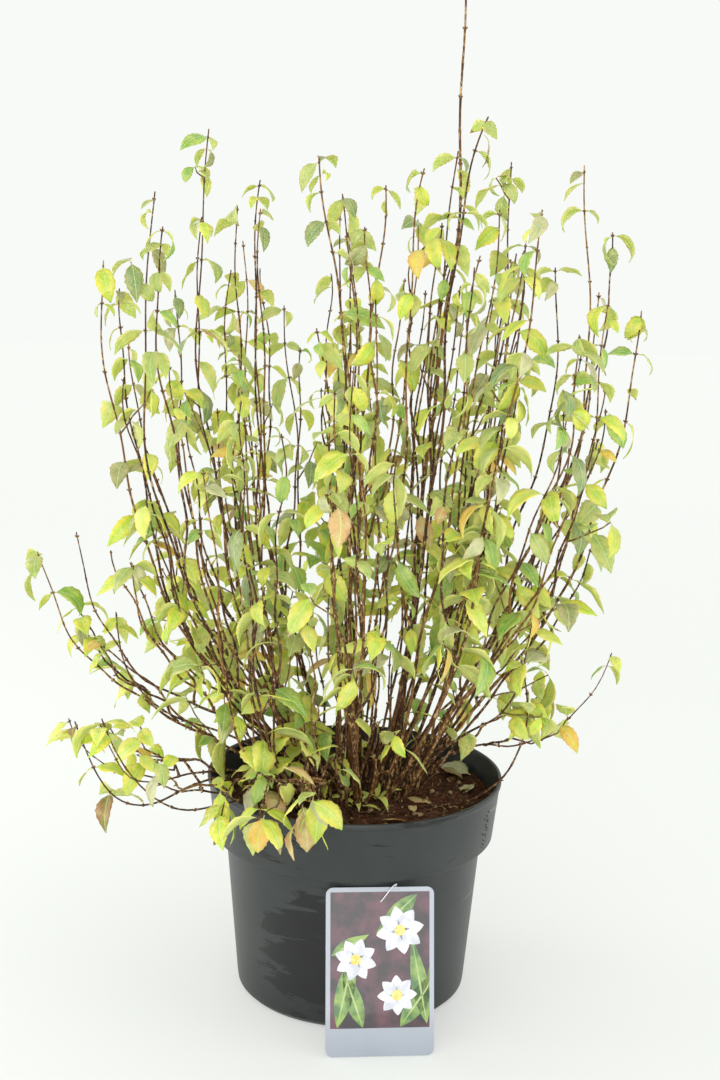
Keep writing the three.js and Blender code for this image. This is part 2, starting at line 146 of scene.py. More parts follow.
# camera, floor and light

view = {
    "focal": 1605.5,  # pixels, for a frame 1080 pixels high
    "frameHeight": 1080,
    "sensorHeight": 24,
    "nearest": 20,  # nothing nearer to the lens is drawn
    "height": 575.6,
    "distance": 1147.2,
    "pitch": 11.5,  # degrees down
    "roll": 1.3,
}


def addCamera():
    lens = bpy.data.cameras.new("camera")
    lens.sensor_fit = "VERTICAL"
    lens.sensor_height = view["sensorHeight"]
    lens.lens = view["sensorHeight"] * view["focal"] / view["frameHeight"]
    lens.clip_start = view["nearest"] * mm
    made = bpy.data.objects.new("camera", lens)
    tilt = Matrix.Rotation(math.radians(90 - view["pitch"]), 4, "X")
    roll = Matrix.Rotation(math.radians(view["roll"]), 4, "Z")
    place = Matrix.Translation((0, -view["distance"] * mm, view["height"] * mm))
    made.matrix_world = place @ tilt @ roll
    bpy.context.scene.collection.objects.link(made)
    bpy.context.scene.camera = made


studio = {
    "floorRadius": 6000,
    "floorSides": 96,
    "floor": "#b6b8b5",
    "farFloor": "#bfc0be",  # as pale as the wall where the two meet
    "fadeFrom": 900,  # distances from the pot between which the floor turns paler
    "fadeTo": 2600,
    "floorRoughness": 0.7,
    "floorGlow": 0.42,  # evens out the shadow, as a lit table does
    "glow": "#fbfdfa",
    "wall": "#f8faf7",
    "domeStrength": 1.0,
    "aim": (0, 0, 300),  # where the lamps point
    "lamps": [  # name, place, size, watts
        ("keyLamp", (-1100, -1300, 1300), 900, 3),
        ("topLamp", (300, 300, 2100), 1200, 0.5),
        ("sideLamp", (1500, -600, 500), 900, 5),
        ("lowLamp", (-200, -2100, 300), 1500, 24),
        ("leftLamp", (-1500, 250, 500), 800, 8),
    ],
}


def addStudio():
    bm = bmesh.new()
    bmesh.ops.create_circle(bm, cap_ends=True, segments=studio["floorSides"],
                            radius=studio["floorRadius"] * mm)
    floor = bpy.data.objects.new("floor", meshFrom(bm, "floor"))
    bpy.context.scene.collection.objects.link(floor)
    paint = newMaterial("matt white laminate floor")
    place = addNode(paint, "ShaderNodeTexCoord").outputs["Object"]
    apart = addNode(paint, "ShaderNodeVectorMath", {"operation": "LENGTH"}, {0: place})
    fade = addNode(paint, "ShaderNodeMapRange",
                   {"From Min": studio["fadeFrom"] * mm, "From Max": studio["fadeTo"] * mm},
                   {"Value": apart.outputs["Value"]})
    tones = addNode(paint, "ShaderNodeMix",
                    {"data_type": "RGBA", 6: colour(studio["floor"]), 7: colour(studio["farFloor"])},
                    {0: fade.outputs[0]})
    skin = addNode(paint, "ShaderNodeBsdfPrincipled",
                   {"Roughness": studio["floorRoughness"], "Emission Color": colour(studio["glow"]),
                    "Emission Strength": studio["floorGlow"]},
                   {"Base Color": tones.outputs[2]})
    addNode(paint, "ShaderNodeOutputMaterial", links={"Surface": skin.outputs[0]})
    floor.data.materials.append(paint)

    world = bpy.data.worlds.new("white studio")
    world.use_nodes = True
    back = world.node_tree.nodes["Background"]
    back.inputs["Color"].default_value = colour(studio["wall"])
    back.inputs["Strength"].default_value = studio["domeStrength"]
    bpy.context.scene.world = world

    aim = Vector(studio["aim"]) * mm
    for name, place, size, watts in studio["lamps"]:
        lamp = bpy.data.lights.new(name, "AREA")
        lamp.size = size * mm
        lamp.energy = watts
        made = bpy.data.objects.new(name, lamp)
        made.location = Vector(place) * mm
        made.rotation_euler = (aim - made.location).to_track_quat("-Z", "Y").to_euler()
        bpy.context.scene.collection.objects.link(made)
    bpy.context.scene.view_settings.view_transform = "Standard"


addCamera()
addStudio()
print("camera and studio ready")

# meshes from arrays

askew = np.array([0.31, 0.95, 0.02])  # a direction that no limb runs in
footBulge = 0.3  # how far the lower end of a tube stands out, in radii


def rings(path, radii, sides, relief=None):
    # one closed tube: a ring at each point of the path and a point at either end
    path = np.array(path)
    along = np.gradient(path, axis=0)
    along /= np.linalg.norm(along, axis=1)[:, None]
    side = np.cross(along, askew)
    side /= np.linalg.norm(side, axis=1)[:, None]
    over = np.cross(along, side)
    angles = np.arange(sides) * 2 * math.pi / sides
    reach = np.repeat(np.array(radii)[:, None], sides, axis=1)
    if relief is not None:
        reach = reach + relief
    spokes = (np.cos(angles)[None, :, None] * side[:, None, :]
              + np.sin(angles)[None, :, None] * over[:, None, :])
    verts = (path[:, None, :] + reach[:, :, None] * spokes).reshape(-1, 3)
    ends = [path[0] - along[0] * radii[0] * footBulge, path[-1] + along[-1] * radii[-1]]
    count = len(path)
    i, j = np.meshgrid(np.arange(count - 1), np.arange(sides), indexing="ij")
    k = (j + 1) % sides
    here, above = i * sides, (i + 1) * sides
    quads = np.stack([here + j, here + k, above + k, above + j], -1).reshape(-1, 4)
    foot, tip, last = count * sides, count * sides + 1, (count - 1) * sides
    ring = np.arange(sides)
    beside = (ring + 1) % sides
    low = np.stack([np.full(sides, foot), beside, ring], -1)
    high = np.stack([np.full(sides, tip), last + ring, last + beside], -1)
    return np.vstack([verts, ends]), quads, np.vstack([low, high])


def joined(name, tubes):
    # one mesh of many tubes
    offsets = np.cumsum([0] + [len(verts) for verts, _, _ in tubes])
    quads = np.vstack([tube[1] + offset for tube, offset in zip(tubes, offsets)])
    tris = np.vstack([tube[2] + offset for tube, offset in zip(tubes, offsets)])
    mesh = bpy.data.meshes.new(name)
    fillMesh(mesh, np.vstack([tube[0] for tube in tubes]) * mm, [quads, tris])
    return mesh


def fillMesh(mesh, verts, faceLists):
    sizes = np.concatenate([np.full(len(faces), faces.shape[1]) for faces in faceLists])
    starts = np.concatenate([[0], np.cumsum(sizes)[:-1]])
    corners = np.concatenate([faces.reshape(-1) for faces in faceLists])
    mesh.vertices.add(len(verts))
    mesh.vertices.foreach_set("co", np.asarray(verts, np.float32).reshape(-1))
    mesh.loops.add(len(corners))
    mesh.loops.foreach_set("vertex_index", corners.astype(np.int32))
    mesh.polygons.add(len(sizes))
    mesh.polygons.foreach_set("loop_start", starts.astype(np.int32))
    mesh.polygons.foreach_set("loop_total", sizes.astype(np.int32))
    mesh.update(calc_edges=True)
    mesh.validate()


# pot

pot = {
    "rimRadius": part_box("pot")[1].x / mm,
    "height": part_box("pot")[1].z / mm,
    "lipHeight": 4,
    "lipProud": 1.1,  # how far the lip stands out of the collar
    "lipWidth": 2.2,
    "rimWall": 2.9,  # the wall's thickness just below the lip
    "rimDepth": 3,  # how far down that is
    "collarFootRadius": 104.5,
    "collarHeight": 45,
    "bodyTopRadius": 96,
    "footRadius": 86,
    "wall": 2,
    "floor": 3,
    "recessRadius": 60,  # the hollow under the foot
    "recessDepth": 0.6,
    "steps": 160,
    "softness": 1.1,
    "softSegments": 3,
    "softAngle": 25,  # degrees
    "footSoftness": 4,
    "dusty": ("#181c1c", "#373c3b"),
    "wiped": "#0c0e0f",
    "soil": "#120d0a",
}


def potPlastic():
    # Injection-moulded black polypropylene, greyed by a film of dried compost dust that hands have wiped:
    # a soft satin, paler where the dust lies and darker and glossier in the wiped streaks.
    made = newMaterial("dusty moulded polypropylene")
    place = addNode(made, "ShaderNodeTexCoord").outputs["Object"]
    # dust lies in clouds about 60 mm wide
    cloud = addNode(made, "ShaderNodeTexNoise", {"Scale": 17, "Detail": 5, "Roughness": 0.6},
                    {"Vector": place})
    # wiping draws streaks that are about 70 mm long sideways and 14 mm high
    stretched = addNode(made, "ShaderNodeMapping", {"Scale": (14, 14, 70)}, {"Vector": place})
    streak = addNode(made, "ShaderNodeTexNoise",
                     {"Scale": 1, "Detail": 4, "Roughness": 0.65, "Distortion": 0.6},
                     {"Vector": stretched.outputs[0]})
    # the hand came from the front left
    apart = addNode(made, "ShaderNodeVectorMath", {"operation": "DISTANCE", 1: (-0.022, -0.094, 0.055)},
                    {0: place})
    near = addNode(made, "ShaderNodeMapRange",
                   {"From Min": 0.025, "From Max": 0.075, "To Min": 0.2, "To Max": -0.16},
                   {"Value": apart.outputs["Value"]})
    rubbed = addNode(made, "ShaderNodeMath", {"operation": "ADD"},
                     {0: streak.outputs["Fac"], 1: near.outputs[0]})
    # the collar is rubbed here and there all the way round
    height = addNode(made, "ShaderNodeSeparateXYZ", links={"Vector": place}).outputs["Z"]
    high = addNode(made, "ShaderNodeMapRange", {"From Min": 0.118, "From Max": 0.124, "To Max": 0.1},
                   {"Value": height})
    wiped = addNode(made, "ShaderNodeMath", {"operation": "ADD"}, {0: rubbed.outputs[0], 1: high.outputs[0]})
    film = addNode(made, "ShaderNodeValToRGB", {"stops": [(0.53, "#ffffff"), (0.57, "#000000")]},
                   {"Fac": wiped.outputs[0]})
    thin, thick = pot["dusty"]
    dusty = addNode(made, "ShaderNodeMix", {"data_type": "RGBA", 6: colour(thin), 7: colour(thick)},
                    {0: cloud.outputs["Fac"]})
    # painted shade: the pale dust film is faded out towards the foot, so the plastic is darker there
    low = addNode(made, "ShaderNodeMapRange", {"From Max": 0.06, "To Min": 0.35, "To Max": 1.0},
                  {"Value": height})
    dustAndFootShade = addNode(made, "ShaderNodeMath", {"operation": "MULTIPLY"},
                   {0: film.outputs["Color"], 1: low.outputs[0]})
    skin = addNode(made, "ShaderNodeMix", {"data_type": "RGBA", 6: colour(pot["wiped"])},
                   {0: dustAndFootShade.outputs[0], 7: dusty.outputs[2]})
    # specks of dried soil, about 1 mm
    crumbs = addNode(made, "ShaderNodeTexVoronoi", {"Scale": 95}, {"Vector": place})
    speck = addNode(made, "ShaderNodeMath", {"operation": "LESS_THAN", 1: 0.045},
                    {0: crumbs.outputs["Distance"]})
    spotted = addNode(made, "ShaderNodeMix", {"data_type": "RGBA", 7: colour(pot["soil"])},
                      {0: speck.outputs[0], 6: skin.outputs[2]})
    gloss = addNode(made, "ShaderNodeMapRange", {"To Min": 0.24, "To Max": 0.42},
                    {"Value": film.outputs["Color"]})
    # the mould's fine grain, drawn at 1.5 mm so that it shows
    grain = addNode(made, "ShaderNodeTexNoise", {"Scale": 650, "Detail": 2}, {"Vector": place})
    bump = addNode(made, "ShaderNodeBump", {"Strength": 0.12, "Distance": 0.0003},
                   {"Height": grain.outputs["Fac"]})
    shade = addNode(made, "ShaderNodeBsdfPrincipled", {"IOR": 1.49},
                    {"Base Color": spotted.outputs[2], "Roughness": gloss.outputs[0],
                     "Normal": bump.outputs[0]})
    addNode(made, "ShaderNodeOutputMaterial", links={"Surface": shade.outputs[0]})
    return made


def spun(profile, steps):
    # a closed shell from points (radius, height), in millimetres, whose first and last lie on the axis
    bm = bmesh.new()
    corners = [bm.verts.new((radius * mm, 0, height * mm)) for radius, height in profile]
    edges = [bm.edges.new(pair) for pair in zip(corners, corners[1:])]
    bmesh.ops.spin(bm, geom=corners + edges, axis=(0, 0, 1), cent=(0, 0, 0), angle=2 * math.pi, steps=steps,
                   use_merge=True)
    bmesh.ops.remove_doubles(bm, verts=bm.verts, dist=1e-6)
    bmesh.ops.recalc_face_normals(bm, faces=bm.faces)
    return bm


def addPot():
    rim, collar = pot["rimRadius"], pot["collarFootRadius"]
    body, foot = pot["bodyTopRadius"], pot["footRadius"]
    top, wall, recess = pot["height"], pot["wall"], pot["recessDepth"]
    step, lip = top - pot["collarHeight"], top - pot["lipHeight"]
    outside = [  # from the middle of the underside up to the rim
        (0, recess), (pot["recessRadius"], recess), (pot["recessRadius"] + 2, 0),
        (foot - pot["footSoftness"], 0), (foot, pot["footSoftness"]), (foot + 0.6, 9),
        (body, step - 0.3), (collar - 0.6, step), (collar, step + 1),
        (rim - pot["lipProud"], lip - 1), (rim, lip), (rim, top),
    ]
    inside = [
        (rim - pot["lipWidth"], top), (rim - pot["rimWall"], top - pot["rimDepth"]),
        (collar - wall, step + wall), (body - wall, step - wall), (foot - wall, pot["floor"]),
        (0, pot["floor"]),
    ]
    bm = spun(outside + inside, pot["steps"])
    piece = newPiece("nurseryPot", meshFrom(bm, "nurseryPot"), [potPlastic()])
    soft = piece.modifiers.new("moulded edges", "BEVEL")
    soft.width = pot["softness"] * mm
    soft.segments = pot["softSegments"]
    soft.limit_method = "ANGLE"
    soft.angle_limit = math.radians(pot["softAngle"])
    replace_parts(piece, "pot")


addPot()
print("pot made")

# compost

compost = {
    "crown": 152,
    "edge": 147,
    "crownRadius": 58,
    "moundRadius": 104,
    "gap": 0.3,  # to the pot's wall and floor
    "tuck": 0.3,  # how far the top goes into the wall, so that no gap shows there
    "rings": 46,
    "steps": 190,
    "relief": 4.2,
    "lumpSizes": (22, 6),
    "smallLumps": 0.8,  # height against the large ones
    "lumpLevel": 0.35,
    "crumbs": 3000,
    "crumbSize": (0.55, 2.9),
    "crumbStretch": 2.4,
    "crumbFlatness": (0.4, 0.9),
    "crumbSlant": 1.2,
    "crumbUneven": 0.5,
    "crumbProud": 0.25,  # how far a crumb's middle stands above the top, in its own half heights
    "crumbsInside": 2.5,  # they keep this far from the wall
    "crumbShares": (0.72, 0.22, 0.06),  # of peat, bark and straw
    "stuckCrumbs": 16,  # splashed on the collar's outside, at the front right
    "stuckSize": (0.35, 0.75),
    "stuckTurn": (-0.5, -0.42),
    "stuckHeight": (126, 154),
    "collarFlare": (121, 160),  # heights between which the collar widens
    "fibres": 400,
    "fibreLength": (5, 17),
    "fibreRadius": (0.16, 0.42),
    "fibreSteps": 5,
    "fibreSides": 4,
    "fibreCurl": 2.4,
    "fibreLift": 0.5,
    "fibreArch": 1.6,
    "fibresInside": 12,
    "rootShare": 0.62,  # the other fibres are straw
    "seed": 5,
}

# dark tone: the peat's own darker crumbs and painted shade in the hollows of its relief; pale tone: its
# lighter crumbs and painted highlight on the crests
peatTonesAndShade = {  # dark, pale and the size of a grain
    "moist peat compost": ("#1a0e09", "#7d4e33", 1.8),
    "peat crumb": ("#1f120c", "#6b432b", 1.5),
    "bark fines": ("#42281a", "#84593a", 2),
    "dry straw crumb": ("#8a6f4a", "#c3ab80", 2),
    "rootFibres skin": ("#33200f", "#6c472e", 2),
    "strawFibres skin": ("#7a5c3a", "#b89d74", 2),
}


def topRadius():
    # where the compost meets the collar's inner wall
    step = pot["height"] - pot["collarHeight"] + pot["wall"]
    low, high = pot["collarFootRadius"] - pot["wall"], pot["rimRadius"] - pot["rimWall"]
    share = (compost["edge"] - step) / (pot["height"] - pot["rimDepth"] - step)
    return mix(low, high, share) + compost["tuck"]


def ground(x, y):
    # height of the compost, in millimetres: a low mound with lumps of two sizes, each from its own
    # slice of the noise
    away, crown = math.hypot(x, y), compost["crownRadius"]
    rise = 1 if away < crown else 1 - (away - crown) / (compost["moundRadius"] - crown)
    wide, narrow = compost["lumpSizes"]
    small = compost["smallLumps"] * noise.noise(Vector((x, y, 9)) / narrow)
    lumps = noise.noise(Vector((x, y, 3)) / wide) + small
    return mix(compost["edge"], compost["crown"], rise) + compost["relief"] * (lumps - compost["lumpLevel"])


def peat(name):
    # Moist sedge peat with bark fines: dull, crumbly and red-brown, with no gloss. Its tone varies and
    # follows the
    # height of its relief: the darkest tone is painted shade in the hollows and the palest painted highlight
    # on the crests. The straw and the roots are as dull.
    dark, pale, grainSize = peatTonesAndShade[name]
    made = newMaterial(name)
    place = addNode(made, "ShaderNodeTexCoord").outputs["Object"]
    reliefAndShade = addNode(made, "ShaderNodeTexNoise",
                   {"Scale": 1 / (grainSize * mm), "Detail": 6, "Roughness": 0.75},
                   {"Vector": place})
    # painted shade and highlight: the tone follows the relief's height, darkest in the hollows and palest on
    # the crests
    tones = addNode(made, "ShaderNodeValToRGB", {"stops": [(0.36, dark), (0.68, pale)]},
                    {"Fac": reliefAndShade.outputs["Fac"]})
    bump = addNode(made, "ShaderNodeBump", {"Strength": 0.9, "Distance": 0.0015},
                   {"Height": reliefAndShade.outputs["Fac"]})
    shade = addNode(made, "ShaderNodeBsdfPrincipled", {"Roughness": 0.93, "Specular IOR Level": 0.25},
                    {"Base Color": tones.outputs["Color"], "Normal": bump.outputs[0]})
    addNode(made, "ShaderNodeOutputMaterial", links={"Surface": shade.outputs[0]})
    return made


def addCompost():
    step, wall, gap = pot["height"] - pot["collarHeight"], pot["wall"], compost["gap"]
    edge, level = topRadius(), 150  # the level only tells the top from the bed, ground shapes it
    bed = [
        (0, pot["floor"] + gap), (pot["footRadius"] - wall - 0.4, pot["floor"] + gap),
        (pot["bodyTopRadius"] - wall - gap, step - wall + gap),
        (pot["collarFootRadius"] - wall - gap, step + wall + gap), (edge, compost["edge"] - 3),
    ]
    top = [(edge * (1 - i / compost["rings"]), level) for i in range(compost["rings"] + 1)]
    bm = spun(bed + top, compost["steps"])
    for vert in bm.verts:
        if vert.co.z > (compost["edge"] - 2) * mm:
            vert.co.z = ground(vert.co.x / mm, vert.co.y / mm) * mm
    skin = peat("moist peat compost")
    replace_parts(newPiece("compostBed", meshFrom(bm, "compostBed"), [skin]), "compost")


def scattered(roll, reach):
    # a place on the compost, in millimetres
    away, turn = reach * math.sqrt(roll()), 2 * math.pi * roll()
    x, y = away * math.cos(turn), away * math.sin(turn)
    return x, y, ground(x, y)


def addCrumbs():
    # crumbs of peat and bark, as squashed and cornered lumps half sunk in the top
    roll = dice(compost["seed"])
    bm = bmesh.new()
    bmesh.ops.create_icosphere(bm, subdivisions=1, radius=1)
    bm.verts.ensure_lookup_table()
    lump = np.array([vert.co for vert in bm.verts])
    faces = np.array([[vert.index for vert in face.verts] for face in bm.faces])
    bm.free()
    limits = np.cumsum(compost["crumbShares"])
    points, kinds = [], []
    for _ in range(compost["crumbs"]):
        x, y, z = scattered(roll, topRadius() - compost["crumbsInside"])
        wide = mix(*compost["crumbSize"], roll() ** 3)
        turn, slant = anyTurn * roll(), compost["crumbSlant"] * (roll() - 0.5)
        turned = np.array(Matrix.Rotation(turn, 3, "Z") @ Matrix.Rotation(slant, 3, "X"))
        long, flat = mix(1, compost["crumbStretch"], roll() ** 2), mix(*compost["crumbFlatness"], roll())
        stretch = np.array([wide * long, wide, wide * flat])
        uneven = 1 + compost["crumbUneven"] * (np.array([roll() for _ in lump]) - 0.5)
        middle = (x, y, z + compost["crumbProud"] * stretch[2])
        points.append((lump * uneven[:, None] * stretch) @ turned.T + middle)
        kinds.append(int(np.searchsorted(limits, roll())))
    low, high = compost["collarFlare"]
    for i in range(compost["stuckCrumbs"]):
        turn = mix(*compost["stuckTurn"], roll())
        height = mix(*compost["stuckHeight"], i / compost["stuckCrumbs"])
        share = (height - low) / (high - low)
        out = mix(pot["collarFootRadius"], pot["rimRadius"] - pot["lipProud"], share)
        small = lump * mix(*compost["stuckSize"], roll())
        points.append(small + (out * math.cos(turn), out * math.sin(turn), height))
        kinds.append(0)
    mesh = bpy.data.meshes.new("crumbs")
    every = (faces[None] + (np.arange(len(points)) * len(lump))[:, None, None]).reshape(-1, 3)
    fillMesh(mesh, np.vstack(points) * mm, [every])
    mesh.polygons.foreach_set("material_index", np.repeat(np.minimum(kinds, 2), len(faces)).astype(np.int32))
    skins = [peat(name) for name in ("peat crumb", "bark fines", "dry straw crumb")]
    newPiece("compostCrumbs", mesh, skins, smooth=False)


def addFibres():
    # thin roots and straws lying on the compost
    roll = dice(compost["seed"] + 1)
    tubes, kinds, count = [], [], compost["fibreSteps"]
    for _ in range(compost["fibres"]):
        x, y, _ = scattered(roll, topRadius() - compost["fibresInside"])
        turn, curl = anyTurn * roll(), compost["fibreCurl"] * (roll() - 0.5)
        length, path = mix(*compost["fibreLength"], roll() ** 1.5), []
        for j in range(count + 1):
            arch = compost["fibreArch"] * math.sin(math.pi * j / count) * roll()
            path.append((x, y, ground(x, y) + compost["fibreLift"] + arch))
            turn += curl / count
            x, y = x + math.cos(turn) * length / count, y + math.sin(turn) * length / count
        thick = mix(*compost["fibreRadius"], roll() ** 2)
        tubes.append(rings(path, [thick] * len(path), compost["fibreSides"]))
        kinds.append("rootFibres" if roll() < compost["rootShare"] else "strawFibres")
    for name in ("rootFibres", "strawFibres"):
        mesh = joined(name, [tube for tube, kind in zip(tubes, kinds) if kind == name])
        newPiece(name, mesh, [peat(name + " skin")])


addCompost()
addCrumbs()
addFibres()
print("compost made")

# plant card

card = {
    "width": 76,
    "height": 117,
    "thickness": 0.9,
    "footDistance": 123.3,
    "lean": 13.6,
    "turn": 5,
    "slide": 11.2,
    "foot": 0.3,
    "holeDrop": 10.5,
    "margin": 3.2,
    "bandTop": 19.5,  # the plain band below the picture
    "ink": 0.05,  # between one printed layer and the next
    "sheet": ("#b4b9c2", "#8d94a0"),
    "tieRadius": 0.42,
    "tieSides": 8,
    "tieSteps": 5,
}

picture = {
    "strips": 8,  # of the ground
    "blades": [  # foot, direction, length and width
        ((-30, 20), 1.35, 58, 13), ((-12, 20), 1.9, 44, 12), ((14, 20), 0.95, 52, 14),
        ((33, 22), 1.75, 62, 12), ((26, 112), 3.9, 40, 12), ((-34, 70), 0.5, 30, 10),
    ],
    "veinWidth": 1.3,
    "daisies": [((14, 87), 17, 0.2), ((-17, 67), 15, 0.5), ((12, 42), 14, 0.05)],  # middle, reach, turn
    "petals": 8,
    "petalWidth": 0.62,  # against its length
    "eyeRadius": 3.8,
    "eyeSides": 16,
    "inks": [  # darker and lighter tone, and the size of a patch, each ink over the one before
        ("plum ink", "#241a20", "#5f3542", 14), ("green ink", "#3f6b34", "#88a54c", 9),
        ("pale vein ink", "#93ad62", "#a9bd78", 6), ("white ink", "#cfd0d5", "#e6e6e9", 7),
        ("shaded white ink", "#bcbfc8", "#d9dadf", 7), ("yellow ink", "#d6b84c", "#f1de86", 2),
    ],
}


def onCard(across, along, out):
    # a place on the card, measured from the middle of its lower edge and out from its face
    lean, turn = math.radians(card["lean"]), math.radians(card["turn"])
    depth = card["thickness"] + out
    x = card["slide"] + across
    y = -card["footDistance"] + along * math.sin(lean) - depth * math.cos(lean)
    z = card["foot"] + along * math.cos(lean) + depth * math.sin(lean)
    return x * math.cos(turn) - y * math.sin(turn), x * math.sin(turn) + y * math.cos(turn), z


def printed(name, low, high, patchSize):
    # Ink under a thin clear film: soft-edged patches of two tones, with the film's even gloss over them.
    made = newMaterial(name)
    place = addNode(made, "ShaderNodeTexCoord").outputs["Object"]
    patch = addNode(made, "ShaderNodeTexNoise", {"Scale": 1 / (patchSize * mm), "Detail": 3},
                    {"Vector": place})
    tones = addNode(made, "ShaderNodeValToRGB", {"stops": [(0.38, low), (0.64, high)]},
                    {"Fac": patch.outputs["Fac"]})
    shade = addNode(made, "ShaderNodeBsdfPrincipled", {"IOR": 1.5, "Roughness": 0.32, "Coat Weight": 0.4},
                    {"Base Color": tones.outputs["Color"]})
    addNode(made, "ShaderNodeOutputMaterial", links={"Surface": shade.outputs[0]})
    return made


def insideCard(across, along):
    # keeps a print inside the picture's edges
    side = card["width"] / 2 - card["margin"]
    return clamp(across, -side, side), clamp(along, card["bandTop"], card["height"] - card["margin"])


def flatShape(bm, outline, ink):
    # a fan of faces round the middle of an outline
    middle = [sum(value) / len(outline) for value in zip(*outline)]
    places = [onCard(*insideCard(*spot), (ink + 1) * card["ink"]) for spot in [*outline, middle]]
    *corners, hub = [bm.verts.new([value * mm for value in place]) for place in places]
    for a, b in zip(corners, corners[1:] + corners[:1]):
        bm.faces.new((hub, a, b)).material_index = ink


def petalOutline(at, turn, length, width, pointed):
    # from its foot round one side, over the tip and back
    outline, half, plump = [], 11, 1.1 if pointed else 0.75
    for i in range(2 * half):
        share, way = (i / half, 1) if i <= half else ((2 * half - i) / half, -1)
        aside = way * width / 2 * math.sin(math.pi * share**0.8) ** plump
        along = share * length
        outline.append((at[0] + along * math.cos(turn) - aside * math.sin(turn),
                        at[1] + along * math.sin(turn) + aside * math.cos(turn)))
    return outline


def addCardPrint():
    # three white daisies over green blades on a plum ground
    bm = bmesh.new()
    side, strips = card["width"] / 2 - card["margin"], picture["strips"]
    low, high = card["bandTop"], card["height"] - card["margin"]
    plum, blade, vein, white, yellow = 0, 1, 2, 3, 5  # the inks by number
    for i in range(strips):
        left, right = mix(-side, side, i / strips), mix(-side, side, (i + 1) / strips)
        flatShape(bm, [(left, low), (right, low), (right, high), (left, high)], plum)
    for at, turn, length, width in picture["blades"]:
        flatShape(bm, petalOutline(at, turn, length, width, True), blade)
        flatShape(bm, petalOutline(at, turn, length, picture["veinWidth"], True), vein)
    for (x, y), reach, turn in picture["daisies"]:
        for i in range(picture["petals"]):
            angle, wide = turn + i * 2 * math.pi / picture["petals"], reach * picture["petalWidth"]
            flatShape(bm, petalOutline((x, y), angle, reach, wide, False), white + i % 2)
        angles = [k * 2 * math.pi / picture["eyeSides"] for k in range(picture["eyeSides"])]
        eye = picture["eyeRadius"]
        flatShape(bm, [(x + eye * math.cos(angle), y + eye * math.sin(angle)) for angle in angles], yellow)
    bmesh.ops.recalc_face_normals(bm, faces=bm.faces)
    front = Vector(onCard(0, 0, 1)) - Vector(onCard(0, 0, 0))
    for face in bm.faces:
        if face.normal.dot(front) < 0:
            face.normal_flip()
    skins = [printed(*ink) for ink in picture["inks"]]
    newPiece("cardPrint", meshFrom(bm, "cardPrint"), skins, smooth=False)


def cardPlastic():
    # Thick polypropylene sheet printed a cool silver grey with faint clouds. It turns darker towards its
    # lower edge.
    made = newMaterial("silver-grey card sheet")
    place = addNode(made, "ShaderNodeTexCoord").outputs["Object"]
    cloud = addNode(made, "ShaderNodeTexNoise", {"Scale": 30, "Detail": 3}, {"Vector": place})
    height = addNode(made, "ShaderNodeSeparateXYZ", links={"Vector": place})
    fade = addNode(made, "ShaderNodeMapRange",
                   {"From Min": 0.0, "From Max": 0.03, "To Min": 0.75, "To Max": 0.25},
                   {"Value": height.outputs["Z"]})
    blend = addNode(made, "ShaderNodeMath", {"operation": "MULTIPLY_ADD", 1: 0.35},
                    {0: cloud.outputs["Fac"], 2: fade.outputs[0]})
    pale, dark = card["sheet"]
    tones = addNode(made, "ShaderNodeMix", {"data_type": "RGBA", 6: colour(pale), 7: colour(dark)},
                    {0: blend.outputs[0]})
    shade = addNode(made, "ShaderNodeBsdfPrincipled", {"IOR": 1.49, "Roughness": 0.34, "Coat Weight": 0.3},
                    {"Base Color": tones.outputs[2]})
    addNode(made, "ShaderNodeOutputMaterial", links={"Surface": shade.outputs[0]})
    return made


def curveThrough(points, steps):
    # a smooth curve that passes through every point
    path, last = [], len(points) - 1
    for i in range(last):
        p0, p1, p2, p3 = (points[clamp(i + k, 0, last)] for k in (-1, 0, 1, 2))
        for t in np.linspace(0, 1, steps + 1)[:-1]:
            bow = (2 * p0 - 5 * p1 + 4 * p2 - p3) * t**2
            sweep = (3 * p1 - p0 - 3 * p2 + p3) * t**3
            path.append(0.5 * (2 * p1 + (p2 - p0) * t + bow + sweep))
    return path


def addCardTie():
    # a loop of thin white plastic through the hole and over the top edge
    top, hole = card["height"], card["height"] - card["holeDrop"]
    route = [
        (0, hole, -2.2), (0.2, hole + 0.4, -0.4), (1.2, hole + 1.6, 1.2), (4.2, hole + 5.6, 1.6),
        (7.6, top - 0.6, 1.3), (10.4, top + 1.6, 0.3), (11.6, top + 1.4, -1.2), (9, top - 2.4, -2.0),
        (4, hole + 3, -2.4), (0, hole, -2.2),
    ]
    path = curveThrough([np.array(onCard(*place)) for place in route], card["tieSteps"])
    mesh = joined("cardTie", [rings(path, [card["tieRadius"]] * len(path), card["tieSides"])])
    newPiece("cardTie", mesh, [printed("white tie plastic", "#dfe1e4", "#f3f4f5", 4)])


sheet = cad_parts["plant_card"]
sheet.data.materials.clear()
sheet.data.materials.append(cardPlastic())
addCardPrint()
addCardTie()
print("card made")
